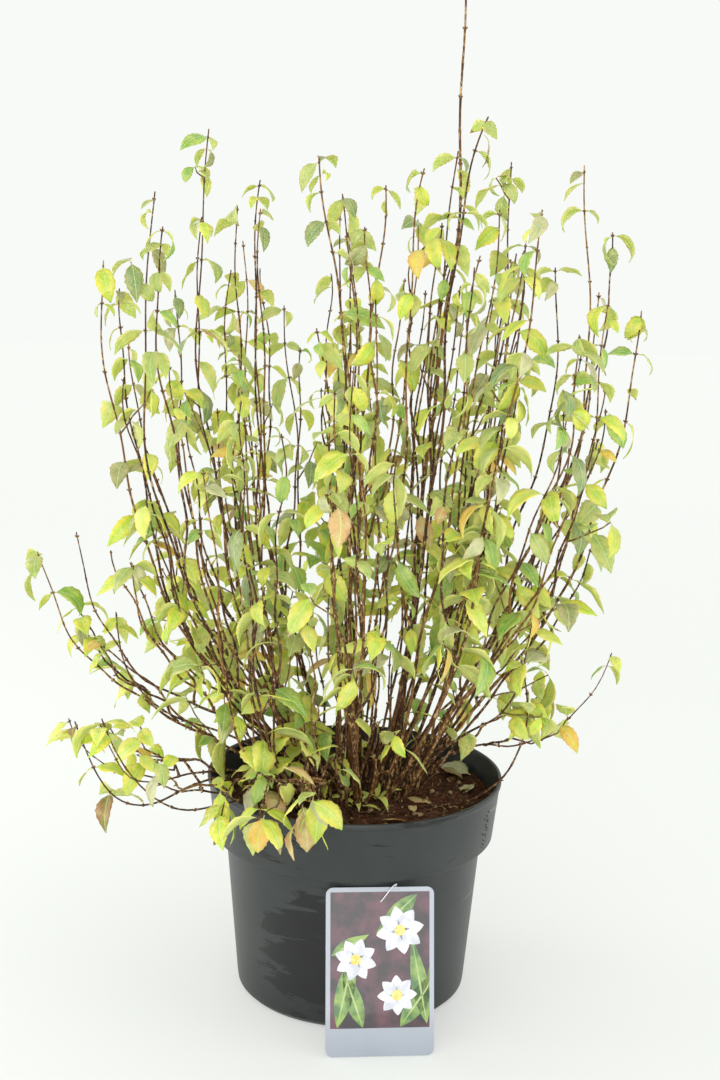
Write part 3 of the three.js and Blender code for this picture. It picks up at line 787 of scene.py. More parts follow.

# the shrub's arches: the same table and the same rule as the solids

# The tips and many of the handles from leader down to low_left_front came out of a fitting program.
# Their other values, and the rows below them, were set one by one.
stems = [
    # name, foot, tip, leave, arrive, girth, side shoots, crown, bare from
    ("leader", (24, 8), (70, 10, 730), (30, 175), (7, 200), 18, 3, 0.8, 0.74),
    ("left_edge", (-30, -6), (-178, -20, 539), (107, 116), (-8, 173), 7, 3),
    ("left_tall", (-24, -20), (-148, -60, 587), (100, 115), (-17, 225), 7, 3),
    ("left_rear", (-20, 14), (-123, 70, 634), (112, 138), (-16, 259), 7, 3),
    ("left_inner", (-12, 0), (-75, 20, 597), (80, 40), (-5, 172), 7, 3),
    ("front_left", (-16, -36), (-82, -95, 453), (100, 20), (16, 80), 6, 3),
    ("middle_front", (-4, -16), (-32, -30, 612), (-1, 149), (30, 136), 8, 3),
    ("middle_rear", (2, 18), (12, 75, 598), (20, 150), (60, 139), 8, 3),
    ("right_inner", (13, -12), (77, -45, 641), (50, 142), (40, 143), 8, 3),
    ("right_tall", (22, 24), (108, 45, 614), (70, 112), (6, 165), 7, 3),
    ("front_right", (22, -28), (113, -95, 580), (87, 122), (21, 159), 7, 3),
    ("right_outer", (36, 16), (162, 60, 614), (104, 143), (-29, 215), 7, 3),
    ("right_edge", (40, 0), (190, 0, 512), (94, 126), (0, 174), 7, 3),
    ("right_front", (34, -14), (165, -60, 522), (60, 106), (-6, 172), 6, 3),
    ("right_low", (49, 11), (193, 40, 250), (40, 62), (34, 110), 5, 2),
    ("far_left", (-44, -3), (-234, -20, 332), (116, 80), (44, 130), 6, 3),
    ("far_left_front", (-38, -18), (-192, -74, 359), (40, 100), (4, 139), 6, 3),
    ("low_left", (-50, -14), (-199, -52, 220), (80, 60), (40, 100), 5, 2),
    ("low_left_front", (-38, -38), (-172, -105, 233), (70, 45), (30, 90), 5, 2),
    ("front_middle", (2, -40), (-5, -132, 480), (70, 90), (0, 150), 6, 3),
    ("front_low", (-18, -52), (-60, -150, 190), (55, 68), (42, 4), 5, 3),
    ("rear_left", (-14, 32), (-98, 146, 552), (95, 120), (5, 180), 7, 3),
    ("rear_middle", (4, 38), (-12, 172, 566), (95, 120), (0, 190), 7, 3),
    ("rear_right", (22, 40), (112, 150, 540), (90, 120), (4, 180), 7, 3),
    ("rear_low_left", (-32, 34), (-150, 150, 330), (80, 95), (10, 130), 6, 3),
    ("rear_low_right", (36, 36), (148, 162, 300), (80, 90), (20, 110), 6, 3),
]

growth = {
    "stemShare": 0.15,
    "stemGirth": 0.66,  # the solids' stems are stouter than life
    "leaderGirth": 1.45,  # of the leader's own long shoot
    "usualGirth": 7,
    "footZ": 152.3,
    "shootFoot": 1.26,
    "shootTip": 0.48,
    "sideShoot": 0.85,  # girth against the shoot that it forks from
    "forkFrom": 0.17,
    "forkTo": 0.48,
    "endFrom": 0.74,
    "endTo": 0.97,
    "spreadFrom": 20,
    "spreadTo": 38,
    "inward": 1.1,
    "leave": (0.12, 0.7),  # how a side shoot's arch leaves its fork, along the stem and aside
    "arrive": (0.4, 0.1),  # and how it comes to its end
    "spacing": 23,  # between two nodes of a shoot
    "firstShare": 0.05,
    "lastShare": 0.99,
    "sway": 3.2,
    "slowWaves": (9, 8),  # sideways and over
    "quickWaves": (23, 21),
    "quickSway": 0.4,  # against the slow waves
    "twigChance": 0.3,
    "twigUntil": 0.66,  # share of a shoot above which it has few twigs
    "lateTwigs": 0.25,
    "twigShortest": 16,
    "twigLongest": 52,
    "twigTaper": (1.1, 0.5),  # twigs are longer low on a shoot and shorter near its tip
    "twigRadius": 0.7,
    "twigTip": 0.7,  # against its foot
    "twigRise": 0.1,
    "twigHandles": (0.35, 0.25),
    "twigSway": 0.6,
    "twigSpacing": 15,
    "twigBare": 0.3,  # share of a twig below its first leaves
    "climb": 0.73,
    "reach": 62,  # how far a mass may stand off its stem's arch
    "seat": 0.6,  # how far out a leaf or a bud starts, in radii of its shoot
}

innerShoots = {
    "count": 30,
    "seed": 15,
    "leftAndFront": (1.0, 1.7),  # direction in half turns
    "allRound": (-0.6, 2.6),
    "allRoundShare": 0.4,
    "away": (10, 50),  # the foot from the middle
    "rise": (60, 230),
    "lean": (18, 70),
    "belly": (5, 25),
    "handles": (0.3, 0.35),
    "sunk": 3,
    "radius": (0.8, 1.3),
    "tipRadius": 0.45,
    "sway": 2.5,
    "spacing": 19,
    "firstShare": 0.12,
}

canes = {
    "count": 28,
    "seed": 16,
    "tallerThan": 400,
    "aside": (7, 15),  # from the stem that each rises beside
    "fan": (0.7, 1.1, 1.8, 2),  # how that grows from its foot to its tip
    "sunk": 5,
    "length": (0.5, 0.92),  # share of that stem's arch
    "radius": (1.0, 1.6),
    "tipRadius": 0.5,
    "firstShare": 0.12,
    "leaf": 0.45,  # share of the usual leaf that a cane carries
}

seeds = {  # where the seeds of each kind of limb start, and those of its leaves
    "stem": 40,
    "leadingShoot": 500,
    "inner": 700,
    "cane": 3000,
    "whip": 4000,
    "sideShoot": 9000,
    "shootLeaves": 7000,
    "innerLeaves": 20000,
    "caneLeaves": 30000,
    "whipLeaves": 40000,
}


def bezier(points, t):
    a, b, c, d = points
    s = 1 - t
    return s**3 * a + 3 * s * s * t * b + 3 * s * t * t * c + t**3 * d


def slope(points, t):
    return unit(bezier(points, min(t + 1e-4, 1)) - bezier(points, max(t - 1e-4, 0)))


def across(points, t):
    # outward, level and along, at t on an arch
    along = slope(points, t)
    sideways = np.cross(points[3] - points[0], up)
    sideways = unit(sideways) if np.dot(sideways, sideways) > 1 else np.array([0.0, 1.0, 0.0])
    side = unit(np.cross(along, sideways))
    return side, unit(np.cross(side, along)), along


def archPath(points, steps):
    return np.array([bezier(points, i / steps) for i in range(steps + 1)])


def lengthOf(points):
    return np.linalg.norm(np.diff(archPath(points, 60), axis=0), axis=1).sum()


def newLimb(points, start, end, foot, tip, seed, sway=0.0):
    roll = dice(seed)
    phases = [anyTurn * roll() for _ in range(4)]
    return {"points": points, "start": start, "end": end, "foot": foot, "tip": tip, "sway": sway,
            "phases": phases, "length": lengthOf(points) * (end - start)}


def girthAt(limb, share):
    return mix(limb["foot"], limb["tip"], share)


def wobble(share, direction, slowPhase, quickPhase):
    # a slow wave that starts from nothing, with a small quick one on it
    slow, quick = growth["slowWaves"][direction], growth["quickWaves"][direction]
    return (math.sin(slow * share + slowPhase) - math.sin(slowPhase)
            + growth["quickSway"] * math.sin(quick * share + quickPhase))


def pointOn(limb, share):
    # a limb sways off its arch, more and more over its first half
    t = mix(limb["start"], limb["end"], share)
    side, over, _ = across(limb["points"], t)
    a, b, c, d = limb["phases"]
    calm = limb["sway"] * math.sin(math.pi * min(share * 2, 1) / 2)
    return bezier(limb["points"], t) + calm * (side * wobble(share, 0, a, b) + over * wobble(share, 1, c, d))


def archOf(row):
    foot = np.array([*row[1], growth["footZ"]], float)
    tip = np.array(row[2], float)
    outward = unit((tip - foot) * (1, 1, 0))
    (leaveOut, leaveUp), (arriveOut, arriveUp) = row[3:5]
    return [foot, foot + outward * leaveOut + up * leaveUp, tip - outward * arriveOut - up * arriveUp, tip]


def growSideShoot(arch, row, index, k, leading):
    roll = dice(100 * (index + 1) + k)
    forkAt = mix(growth["forkFrom"], growth["forkTo"], (k + roll()) / row[6])
    endAt = mix(growth["endFrom"], growth["endTo"], roll()) * (row[7] if len(row) > 7 else 1)
    turn = growth["inward"] * roll()
    spread = mix(growth["spreadFrom"], growth["spreadTo"], roll())
    way = 1 if (k + index) % 2 else -1
    outward, level, along = across(arch, endAt)
    aside = (outward * -math.sin(turn) + level * way * math.cos(turn)) * spread
    start = pointOn(leading, (forkAt - leading["start"]) / (1 - leading["start"]))
    end = bezier(arch, endAt) + aside
    reach = np.linalg.norm(end - start)
    bendLow = start + slope(arch, forkAt) * growth["leave"][0] * reach + aside * growth["leave"][1]
    bendHigh = end - along * growth["arrive"][0] * reach - aside * growth["arrive"][1]
    return newLimb([start, bendLow, bendHigh, end], 0, 1, growth["sideShoot"] * growth["shootFoot"],
                   growth["shootTip"], seeds["sideShoot"] + 10 * index + k, growth["sway"])


def growTwig(node, way, roll):
    (longest, taper), (low, high) = growth["twigTaper"], growth["twigHandles"]
    reach = mix(growth["twigShortest"], growth["twigLongest"], roll()) * (longest - taper * node["share"])
    climb, rise, foot = growth["climb"], growth["twigRise"], node["point"]
    heading = unit(node["outward"] * way * math.cos(climb) + node["along"] * math.sin(climb))
    end = foot + heading * reach + up * rise * reach
    points = [foot, foot + heading * low * reach, end - heading * high * reach - up * rise * reach, end]
    radius = growth["twigRadius"]
    return newLimb(points, 0, 1, radius, growth["twigTip"] * radius, int(roll() * 1e6), growth["twigSway"])


def nodesOf(limb, turn, spacing=growth["spacing"], firstShare=growth["firstShare"]):
    # pairs of leaves stand opposite each other, and each pair is a quarter turn on from the last
    count = max(2, round(limb["length"] / spacing))
    nodes = []
    for i in range(count + 1):
        share = mix(firstShare, growth["lastShare"], i / count)
        side, over, along = across(limb["points"], mix(limb["start"], limb["end"], share))
        angle = turn + i * math.pi / 2
        outward = side * math.cos(angle) + over * math.sin(angle)
        nodes.append({"point": pointOn(limb, share), "outward": outward, "along": along, "share": share,
                      "last": i == count, "index": i})
    return nodes


def newShoot(name, limb, seed, nodes, leaf=1, bareFrom=1):
    # leaf is the share of the usual leaf that it carries
    return {"name": name, "limb": limb, "seed": seed, "nodes": nodes, "leaf": leaf, "bareFrom": bareFrom}


def growShrub():
    # every stem and its shoots, and the nodes of each
    boughs, shoots = [], []
    foot, tip, start = growth["shootFoot"], growth["shootTip"], growth["stemShare"]
    for index, row in enumerate(stems):
        arch, leader = archOf(row), row[0] == "leader"
        girth = row[5] / 2 * (1 if leader else growth["stemGirth"])
        boughs.append(newLimb(arch, 0, start, girth, foot + 0.15, seeds["stem"] + index))
        stout = growth["leaderGirth"] if leader else row[5] / growth["usualGirth"]
        leading = newLimb(arch, start, 1, foot * stout, tip * stout, seeds["leadingShoot"] + index,
                          growth["sway"])
        limbs = [leading] + [growSideShoot(arch, row, index, k, leading) for k in range(row[6])]
        for k, limb in enumerate(limbs):
            seed = seeds["shootLeaves"] + 100 * index + 10 * k
            nodes = nodesOf(limb, math.pi * dice(seed)())
            bareFrom = row[8] if len(row) > 8 and k == 0 else 1
            shoots.append(newShoot(row[0], limb, seed, nodes, bareFrom=bareFrom))
    return boughs, shoots


def growInnerShoots():
    # thin young shoots from the compost fill the middle, most of them on the left and in front
    roll, made = dice(innerShoots["seed"]), []
    for i in range(innerShoots["count"]):
        side = "allRound" if roll() < innerShoots["allRoundShare"] else "leftAndFront"
        turn = mix(*innerShoots[side], roll()) * math.pi
        away, rise = mix(*innerShoots["away"], roll()), mix(*innerShoots["rise"], roll() ** 1.3)
        outward = np.array([math.cos(turn), math.sin(turn), 0])
        foot = outward * away + up * (growth["footZ"] - innerShoots["sunk"])
        end = foot + outward * mix(*innerShoots["lean"], roll()) + up * rise
        low, high = innerShoots["handles"]
        belly = foot + outward * mix(*innerShoots["belly"], roll()) + up * rise * low
        limb = newLimb([foot, belly, end - up * rise * high, end], 0, 1, mix(*innerShoots["radius"], roll()),
                       innerShoots["tipRadius"], seeds["inner"] + i, innerShoots["sway"])
        nodes = nodesOf(limb, anyTurn * roll(), innerShoots["spacing"], innerShoots["firstShare"])
        made.append(newShoot("inner", limb, seeds["innerLeaves"] + 10 * i, nodes))
    return made


def growCanes():
    # slender canes that rise from the compost beside the taller stems
    roll, made = dice(canes["seed"]), []
    tall = [row for row in stems if row[2][2] > canes["tallerThan"]]
    for i in range(canes["count"]):
        row = tall[i % len(tall)]
        arch = archOf(row)
        turn = anyTurn * roll()
        aside = np.array([math.cos(turn), math.sin(turn), 0]) * mix(*canes["aside"], roll())
        points = [point + aside * share for point, share in zip(arch, canes["fan"])]
        points[0] = points[0] - up * canes["sunk"]
        limb = newLimb(points, 0, mix(*canes["length"], roll()), mix(*canes["radius"], roll()),
                       canes["tipRadius"], seeds["cane"] + i, growth["sway"])
        nodes = nodesOf(limb, anyTurn * roll(), firstShare=canes["firstShare"])
        made.append(newShoot(row[0], limb, seeds["caneLeaves"] + 10 * i, nodes, canes["leaf"]))
    return made


# The rows low_left_front, low_left, far_left_front, right_front and left_tall came out of a fitting
# program. The others were set one by one.
whips = [  # stem that each belongs to, then its foot, two handles and tip
    ("low_left_front", (-46, -58, 150), (-56, -74, 212), (-126, -91, 100), (-173, -105, 235)),
    ("low_left", (-52, -22, 150), (-119, -32, 222), (-154, -43, 69), (-200, -52, 216)),
    ("far_left_front", (-44, -16, 152), (-70, -31, 229), (-166, -47, 183), (-171, -60, 299)),
    ("right_low", (52, -30, 150), (105, -32, 151), (139, -28, 188), (117, -28, 262)),
    ("right_front", (34, -12, 152), (106, -18, 256), (114, -25, 162), (127, -30, 326)),
    ("left_tall", (-66, -58, 150), (-70, -59, 148), (-69, -61, 257), (-93, -62, 388)),
    ("front_low", (-24, -56, 150), (-30, -66, 215), (-36, -104, 222), (-36, -122, 172)),
    ("front_low", (-40, -52, 150), (-52, -64, 196), (-60, -98, 206), (-64, -120, 170)),
    ("front_low", (-58, -50, 150), (-72, -62, 190), (-88, -84, 196), (-92, -102, 166)),
    ("front_low", (-8, -50, 150), (-14, -62, 212), (-22, -104, 220), (-24, -122, 178)),
]

whip = {
    "leaf": 2.2,  # share of the usual leaf
    "radius": 1.0,
    "sway": 0.8,
    "firstShare": 0.2,
    "turn": 0.4,
}


def growWhips():
    # long thin shoots that sag over the rim before they rise
    made = []
    for i, (name, *places) in enumerate(whips):
        points = [np.array(place, float) for place in places]
        limb = newLimb(points, 0, 1, whip["radius"], growth["shootTip"], seeds["whip"] + i, whip["sway"])
        nodes = nodesOf(limb, whip["turn"], firstShare=whip["firstShare"])
        made.append(newShoot(name, limb, seeds["whipLeaves"] + 10 * i, nodes, whip["leaf"]))
    return made


boughs, shoots = growShrub()
shoots += growInnerShoots() + growCanes() + growWhips()
print("grown:", len(boughs), "stems,", len(shoots), "shoots,", sum(len(s["nodes"]) for s in shoots), "nodes")

# which nodes carry leaves, and which a twig

leafRule = {
    "bands": [  # below this height, share of nodes in leaf, and of leaves that still hang there
        (240, 0.84, 0.86),
        (330, 0.68, 0.82),
        (440, 0.54, 0.78),
        (800, 0.56, 0.78),
    ],
    "bareTips": 0.02,
    "bareTipFrom": 0.84,
    "twigLeaf": 0.62,
    "twigLength": 0.9,  # of a leaf on a twig, against the others
    "tipFrom": 0.93,
    "tipLeaf": 0.8,
    "smallFrom": 0.86,
    "tuftGap": 8,
    "length": (15, 33),
    "smallLength": (12, 28),
    "lowest": 200,  # leaves are longer and straighter here, and as usual above the next height
    "usual": 450,
    "lowStretch": 1.26,
    "stretch": 1.05,
    "lowBend": 0.72,
    "width": (0.38, 0.54),  # against the length
    "bend": (1.2, 2.9),
    "early": (0.35, 1.05),  # below 1 it bends near the stalk, above 1 near the tip
    "tilt": 0.75,
    "twist": 0.5,
    "fold": (0.0, 0.42),
    "wave": 0.05,
    "hanging": {"bend": 2.5, "early": 0.35},  # a leaf that would stand out too far hangs from its stalk
    "forward": (0.0, 0.6),  # a leaf points along its shoot as well as outward
    "lift": (-0.3, 0.1),
    "scatter": 0.3,
    "middle": 0.75,  # share of its length that has to stay near the solids' box
    "proud": 6,  # how far a leaf may stand out of that box
    "leafierAt": (0.2, 0.55, 0.9),  # shares of the way from a stem's foot to its tip
    "seed": 88,
}

# These factors, and the seed in leafRule, came out of a search program. They weren't chosen by hand.
leafier = {  # how much more or less leaf than usual a stem has: near its foot, halfway out, near its tip
    "leader": (0.15, 0.6, 0.3), "middle_front": (0.15, 0.15, 1), "middle_rear": (0.15, 1.5, 0.15),
    "right_inner": (0.45, 0.8, 0.3), "right_outer": (0.15, 0.15, 0.15),
    "right_edge": (0.15, 1.25, 1.25), "right_front": (0.15, 0.8, 2.2), "right_low": (0.15, 0.15, 0.3),
    "right_tall": (0.3, 1.8, 0.15), "left_tall": (0.15, 0.15, 1.8), "left_edge": (0.3, 0.8, 0.8),
    "left_rear": (0.15, 1.25, 1.25), "left_inner": (0.3, 0.6, 0.15), "front_left": (0.3, 0.3, 0.8),
    "front_right": (0.15, 1.8, 1), "far_left": (0.8, 0.15, 0.6), "far_left_front": (0.15, 0.15, 0.15),
    "low_left": (0.15, 0.15, 0.45), "low_left_front": (0.3, 0.15, 0.3), "front_low": (0.3, 0.15, 0.15),
    "front_middle": (0.15, 0.3, 2.2), "rear_left": (1, 1.25, 2.2), "rear_middle": (1.8, 1.5, 0.6),
    "rear_right": (2.2, 1.8, 0.8), "rear_low_left": (0.8, 1.25, 0.6), "rear_low_right": (0.6, 0.5, 0.8),
    "inner": (0.15, 0.15, 0.15),
}


def withinReach(point):
    low, high = cadBox[0] / mm, cadBox[1] / mm
    return all(low[i] - leafRule["proud"] < point[i] < high[i] + leafRule["proud"] for i in range(3))


def newLeaf(point, outward, along, roll, small=False):
    lift = clamp((point[2] - leafRule["lowest"]) / (leafRule["usual"] - leafRule["lowest"]))
    heading = outward + along * mix(*leafRule["forward"], roll()) + up * mix(*leafRule["lift"], roll())
    heading = heading + leafRule["scatter"] * np.array([roll() - 0.5, roll() - 0.5, roll() - 0.5])
    stretch = mix(leafRule["lowStretch"], leafRule["stretch"], lift)
    calm = mix(leafRule["lowBend"], 1.0, lift)
    leaf = {
        "point": point,
        "heading": unit(heading),
        "length": mix(*leafRule["smallLength" if small else "length"], roll() ** 0.8) * stretch,
        "width": mix(*leafRule["width"], roll()),
        "bend": mix(*leafRule["bend"], roll() ** 0.85) * calm,
        "early": mix(*leafRule["early"], roll()),
        "tilt": mix(-leafRule["tilt"], leafRule["tilt"], roll()),
        "twist": mix(-leafRule["twist"], leafRule["twist"], roll()),
        "fold": mix(*leafRule["fold"], roll() ** 1.3),
        "wave": mix(-leafRule["wave"], leafRule["wave"], roll()),
        "dice": roll(),
        "mark": roll(),
    }
    if not withinReach(point + leaf["heading"] * leafRule["middle"] * leaf["length"]):
        leaf.update(leafRule["hanging"])
    return leaf


archPaths = {row[0]: archPath(archOf(row), 24) for row in stems}
archPaths["inner"] = np.array([[0, 0, 150], [0, 0, 380]])


def offArch(point, name):
    # how far a point stands off the arch of its own stem
    return np.linalg.norm(archPaths[name] - point, axis=1).min()


def leafShare(point, name):
    # how much leaf there is at a place, by how far out along its stem it is
    foot, tip = archPaths[name][0], archPaths[name][-1]
    outAt = np.linalg.norm(point - foot) / np.linalg.norm(tip - foot)
    return float(np.interp(outAt, leafRule["leafierAt"], leafier[name]))


def twigLeaves(twig, roll):
    made = []
    for tuft in nodesOf(twig, math.pi * roll(), growth["twigSpacing"], growth["twigBare"]):
        for way in (-1, 1):
            if roll() < leafRule["twigLeaf"] or tuft["last"]:
                leaf = newLeaf(tuft["point"], tuft["outward"] * way, tuft["along"], roll)
                leaf["length"] *= leafRule["twigLength"]
                made.append(leaf)
    return made


def nodeLeaves(shoot, node, hanging, seed):
    # a pair of leaves, or what still hangs of it
    made, radius = [], girthAt(shoot["limb"], node["share"])
    pairs = [(node["point"], node["outward"])]
    if node["last"]:  # the last pairs stand close together
        below = node["point"] - node["along"] * leafRule["tuftGap"]
        pairs.append((below, np.cross(node["along"], node["outward"])))
    for k, (point, outward) in enumerate(pairs):
        for way in (-1, 1):
            roll = dice(seed + 2 + way + 4 * k)
            if roll() < hanging:
                foot = point + outward * way * radius * growth["seat"]
                small = node["share"] > leafRule["smallFrom"]
                made.append(newLeaf(foot, outward * way, node["along"], roll, small))
    return made


def leafOut():
    leaves, twigs = [], []
    for shoot in shoots:
        name, roll = shoot["name"], dice(shoot["seed"] + 3)
        tint = roll()
        bareFrom = min(shoot["bareFrom"], leafRule["bareTipFrom"] if roll() < leafRule["bareTips"] else 1)
        for node in shoot["nodes"]:
            if node["share"] > bareFrom:
                continue
            inLeaf, hanging = next(band[1:] for band in leafRule["bands"] if node["point"][2] < band[0])
            more = leafShare(node["point"], name) * shoot["leaf"]
            inLeaf, hanging = inLeaf * more, hanging * more**0.5
            if node["last"] or node["share"] > leafRule["tipFrom"]:
                inLeaf = hanging = leafRule["tipLeaf"]
            seed = 1000 * shoot["seed"] + 10 * node["index"] + leafRule["seed"]
            roll = dice(seed)
            late = node["share"] >= growth["twigUntil"]
            twigged = roll() < growth["twigChance"] * (growth["lateTwigs"] if late else 1)
            if roll() > inLeaf:
                continue
            if not twigged or node["last"]:
                leaves += [{**leaf, "tint": tint} for leaf in nodeLeaves(shoot, node, hanging, seed)]
                continue
            twig = growTwig(node, 1 if roll() < 0.5 else -1, roll)
            end = twig["points"][3]
            if withinReach(end) and (name == "inner" or offArch(end, name) <= growth["reach"]):
                twigs.append(twig)
                leaves += [{**leaf, "tint": tint} for leaf in twigLeaves(twig, roll)]
    return leaves, twigs


sprigs = [  # foot on the compost, leaf count, leaf length
    ((2, -33), 6, 25),
    ((17, -24), 5, 27),
    ((-6, -24), 4, 19),
]

litter = [  # place, turn, length and colour of fallen leaves
    ((90, 40), 2.4, 33, "pale"), ((56, -26), 2.6, 20, "straw"), ((80, 2), 1.2, 21, "straw"),
    ((92, 22), 4.1, 26, "pale"), ((70, 55), 5.2, 28, "olive"), ((-78, -22), 0.8, 27, "yellow"),
    ((-60, -58), 2.2, 29, "yellow"), ((-35, -78), 2.0, 30, "blush"), ((-84, 12), 5.0, 24, "straw"),
    ((34, 74), 3.4, 28, "olive"), ((-22, 84), 3.5, 27, "straw"), ((-66, 50), 4.4, 26, "pale"),
    ((20, -70), 0.2, 17, "blush"), ((44, -52), 1.8, 16, "straw"),
]

fallenLeaf = {"bend": 0.5, "tint": 0.5, "mark": 0.5}
sprigLeaf = {"width": 0.19, "early": 1, "tilt": 0, "twist": 0, "tint": 0.3, "kind": "spring", "mark": 0.5}


def groundLeaves():
    # what lies on the compost and what sprouts from it
    roll = dice(leafRule["seed"] + 1)
    lying, sprouting = [], []
    for (x, y), turn, length, kind in litter:
        heading = unit(np.array([math.cos(turn), math.sin(turn), 0.12]))
        leaf = newLeaf(np.array([x, y, ground(x, y) + 2.2]), heading, heading, roll)
        lying.append({**leaf, **fallenLeaf, "heading": heading, "length": length, "kind": kind,
                      "tilt": mix(-0.25, 0.25, roll())})
    for (x, y), count, length in sprigs:
        for i in range(count):
            turn = anyTurn * (i + 0.6 * roll()) / count
            heading = unit(np.array([math.cos(turn), math.sin(turn), mix(0.9, 1.9, roll())]))
            leaf = newLeaf(np.array([x, y, ground(x, y) - 1]), heading, heading, roll)
            sprouting.append({**leaf, **sprigLeaf, "heading": heading,
                              "length": length * mix(0.8, 1.15, roll()), "bend": mix(1.5, 2.3, roll())})
    return lying + sprouting


leaves, twigs = leafOut()
leaves += groundLeaves()
print("leafed:", len(leaves), "leaves,", len(twigs), "twigs")

# limbs as meshes

bark = {
    "stemSides": 28,
    "stemStep": 1.6,
    "flare": 0.5,  # a stem's foot is this much thicker
    "flareSteps": 3,
    "plates": {"depth": 0.2, "across": 0.62, "along": 0.14, "shift": 9.7},  # depth in radii
    "ribs": {"depth": 0.26, "across": 1.3, "along": 0.06, "shift": 5.1},
    "sunk": 9,  # how far a stem goes on down into the compost
    "below": [(1, 1.7), (0.66, 1.65), (0.33, 1.6)],  # share of that depth, and girth against the foot's
    "shootSides": 8,
    "shootStep": 6,
    "knot": 0.3,  # a shoot is this much thicker at a node
    "knotLength": 1.2,
    "twigSides": 6,
    "twigStep": 7,
    "budLength": 1.9,
    "budSizes": (0.7, 1.3),
    "budForward": 1.1,
    "budSides": 5,
    "budShape": [(0, 0.4), (0.4, 0.62), (0.75, 0.42), (1, 0.12)],  # share of its length, radius
    "tanShare": 0.3,
    "seed": 12,
}

barkTones = {  # dark, warm and pale, more or less flaked, and the length of a flake
    "peeling old bark": ("#2c1708", "#6f4826", "#a98c5a", -0.01, 7),
    "dusky young bark": ("#2f1b10", "#66432a", "#af956c", -0.01, 4),
    "tan young bark": ("#472c16", "#8a6234", "#c4a878", -0.01, 4.5),
    "green-brown twig bark": ("#5a4028", "#86703e", "#a99a62", 0.0, 4),
    "bud scales": ("#3a241a", "#7d5a35", "#a08a5a", 0.02, 2),
}


def barkSkin(name, dark, warm, pale, flakes, fleck):
    # Thin bark that peels in papery strips: dark red-brown under pale flakes that run along the shoot,
    # dry and dull where it flakes, with a slight sheen between.
    made = newMaterial(name)
    place = addNode(made, "ShaderNodeTexCoord").outputs["Object"]
    drawn = addNode(made, "ShaderNodeMapping", {"Scale": (450, 450, 1 / (fleck * mm))}, {"Vector": place})
    strip = addNode(made, "ShaderNodeTexNoise", {"Scale": 1, "Detail": 3, "Roughness": 0.6},
                    {"Vector": drawn.outputs[0]})
    # some shoots and some lengths of a shoot are warmer
    patch = addNode(made, "ShaderNodeTexNoise", {"Scale": 26, "Detail": 2}, {"Vector": place})
    warmth = addNode(made, "ShaderNodeMapRange", {"From Min": 0.4, "From Max": 0.65, "To Max": 0.6},
                     {"Value": patch.outputs["Fac"]})
    peeled = addNode(made, "ShaderNodeMath", {"operation": "ADD", 1: flakes}, {0: strip.outputs["Fac"]})
    tones = addNode(made, "ShaderNodeValToRGB", {"stops": [(0.47, dark), (0.62, pale), (0.54, warm)]},
                    {"Fac": peeled.outputs[0]})
    tinted = addNode(made, "ShaderNodeMix", {"data_type": "RGBA", 7: colour(warm)},
                     {0: warmth.outputs[0], 6: tones.outputs["Color"]})
    rough = addNode(made, "ShaderNodeMapRange", {"To Min": 0.5, "To Max": 0.85},
                    {"Value": strip.outputs["Fac"]})
    bump = addNode(made, "ShaderNodeBump", {"Strength": 0.8, "Distance": 0.0007},
                   {"Height": strip.outputs["Fac"]})
    shade = addNode(made, "ShaderNodeBsdfPrincipled", {"IOR": 1.45, "Specular IOR Level": 0.3},
                    {"Base Color": tinted.outputs[2], "Roughness": rough.outputs[0],
                     "Normal": bump.outputs[0]})
    addNode(made, "ShaderNodeOutputMaterial", links={"Surface": shade.outputs[0]})
    return made


def stemTube(limb, seed):
    # an old stem that flares at its foot, with bark that stands up in long ragged plates
    count = int(limb["length"] / bark["stemStep"])
    shares = [i / count for i in range(count + 1)]
    path = [pointOn(limb, s) for s in shares]
    flares = [1 + bark["flare"] * math.exp(-s * count / bark["flareSteps"]) for s in shares]
    girths = [girthAt(limb, s**0.8) * flare for s, flare in zip(shares, flares)]
    down = -slope(limb["points"], 0)
    below = [path[0] + down * bark["sunk"] * part for part, _ in bark["below"]]
    path, girths = below + path, [wide * limb["foot"] for _, wide in bark["below"]] + girths
    plates, ribs = bark["plates"], bark["ribs"]
    relief = np.zeros((len(path), bark["stemSides"]))
    for i, girth in enumerate(girths):
        rise = i * bark["stemStep"]
        plateRise, ribRise = (rise * kind["along"] + seed * kind["shift"] for kind in (plates, ribs))
        for j in range(bark["stemSides"]):
            angle = 2 * math.pi * j / bark["stemSides"]
            spot = Vector((math.cos(angle) * girth, math.sin(angle) * girth, plateRise))
            plate = noise.noise(spot * plates["across"])
            rib = noise.noise(Vector((spot.x * ribs["across"], spot.y * ribs["across"], ribRise)))
            relief[i, j] = girth * (plates["depth"] * plate + ribs["depth"] * rib)
    return rings(path, girths, bark["stemSides"], relief)


def shootTube(shoot):
    # a shoot swells a little at each of its nodes
    limb = shoot["limb"]
    knots = np.array([node["share"] for node in shoot["nodes"]])
    count = max(3, int(limb["length"] / bark["shootStep"]))
    lift = bark["knotLength"] / limb["length"]
    besideKnots = {clamp(s + d) for s in knots for d in (-lift, 0, lift)}
    shares = sorted({i / count for i in range(count + 1)} | besideKnots)
    swells = [math.exp(-((np.abs(knots - s).min() / lift) ** 2)) for s in shares]
    girths = [girthAt(limb, s) * (1 + bark["knot"] * swell) for s, swell in zip(shares, swells)]
    return rings([pointOn(limb, s) for s in shares], girths, bark["shootSides"])


def twigTube(limb):
    count = max(3, int(limb["length"] / bark["twigStep"]))
    shares = [i / count for i in range(count + 1)]
    return rings([pointOn(limb, s) for s in shares], [girthAt(limb, s) for s in shares], bark["twigSides"])


